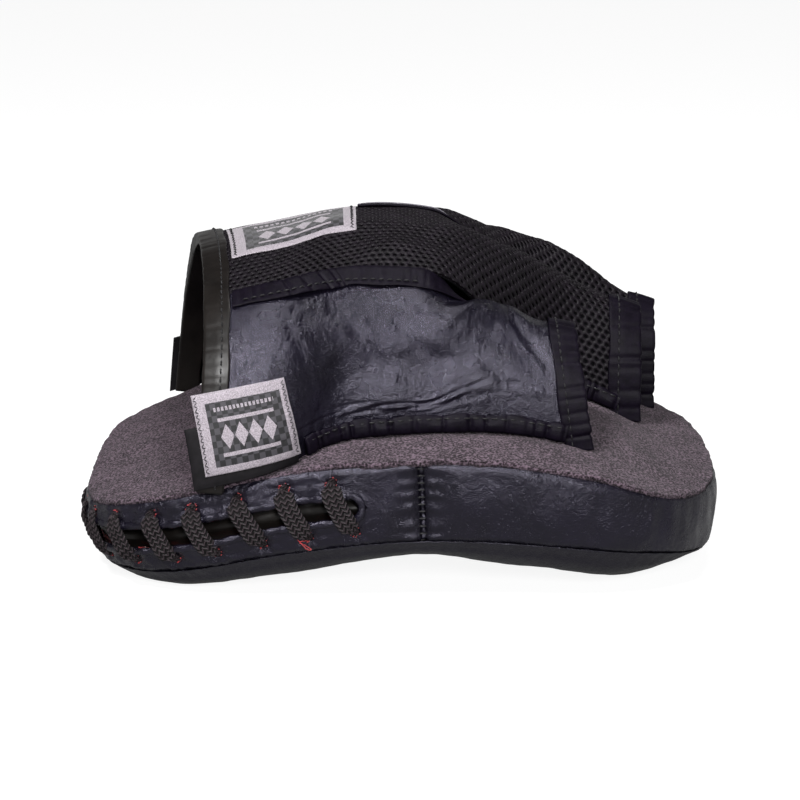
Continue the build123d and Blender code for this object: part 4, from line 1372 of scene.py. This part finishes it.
# ------------------------------------------------------------ stage, light, camera (metres)
SKY = ((0.16, (1, 1, 1, 1)), (0.40, (0.06, 0.06, 0.065, 1)))
LAMP_AIM = 0.05
LAMPS = [
    ("key", (-0.42, -0.75, 1.20), 0.30, 24.0),
    ("top", (0.20, 0.15, 1.40), 0.30, 7.0),
    ("front", (0.22, -1.35, 0.62), 0.34, 17.0),
]
CAMERA_AWAY, CAMERA_RISE, CAMERA_AIM, CAMERA_LENS = 1.1, radians(14.3), 0.0553, 123.75


def stage():
    """Pale floor and surroundings, which look white but are dimmer in reflections, and three soft lamps."""
    bpy.ops.mesh.primitive_plane_add(size=8, location=(0, 1.5, 0))
    floor = bpy.context.object
    floor.name = "floor"
    s = Shader("floor_paint")
    s.set(Base_Color=(0.20, 0.20, 0.20, 1), Roughness=0.9, Specular_IOR_Level=0.1)
    s.set(Emission_Color=(1, 1, 1, 1))
    seen = s.node("ShaderNodeLightPath").outputs["Is Camera Ray"]
    s.link(s.plus(s.times(seen, 0.80), 0.10), s.main.inputs["Emission Strength"])
    floor.data.materials.append(s.material)

    world = bpy.data.worlds.new("studio")
    bpy.context.scene.world = world
    world.use_nodes = True
    nodes, links = world.node_tree.nodes, world.node_tree.links
    direction = nodes.new("ShaderNodeTexCoord")
    split = nodes.new("ShaderNodeSeparateXYZ")
    ramp = nodes.new("ShaderNodeValToRGB")
    for stop, (height, colour) in zip(ramp.color_ramp.elements, SKY):
        stop.position, stop.color = height, colour
    seen = nodes.new("ShaderNodeLightPath")
    level = nodes.new("ShaderNodeMapRange")
    level.inputs["To Min"].default_value = 0.5
    links.new(direction.outputs["Generated"], split.inputs["Vector"])
    links.new(split.outputs["Z"], ramp.inputs["Fac"])
    links.new(ramp.outputs["Color"], nodes["Background"].inputs["Color"])
    links.new(seen.outputs["Is Camera Ray"], level.inputs["Value"])
    links.new(level.outputs["Result"], nodes["Background"].inputs["Strength"])

    for name, place_at, size, power in LAMPS:
        data = bpy.data.lights.new(name, "AREA")
        data.shape = "DISK"
        data.size = size
        data.energy = power
        lamp = bpy.data.objects.new(name, data)
        bpy.context.scene.collection.objects.link(lamp)
        lamp.location = place_at
        away = Vector(place_at) - Vector((0, 0, LAMP_AIM))
        lamp.rotation_euler = away.to_track_quat("Z", "Y").to_euler()


def camera():
    """Long lens, a little above the near side."""
    data = bpy.data.cameras.new("camera")
    data.sensor_width = 36
    data.lens = CAMERA_LENS
    seat = bpy.data.objects.new("camera", data)
    bpy.context.scene.collection.objects.link(seat)
    seat.location = (0, -CAMERA_AWAY * cos(CAMERA_RISE), CAMERA_AIM + CAMERA_AWAY * sin(CAMERA_RISE))
    seat.rotation_euler = (pi / 2 - CAMERA_RISE, 0, 0)
    bpy.context.scene.camera = seat


stage()
camera()
bpy.context.scene.view_settings.view_transform = "Standard"
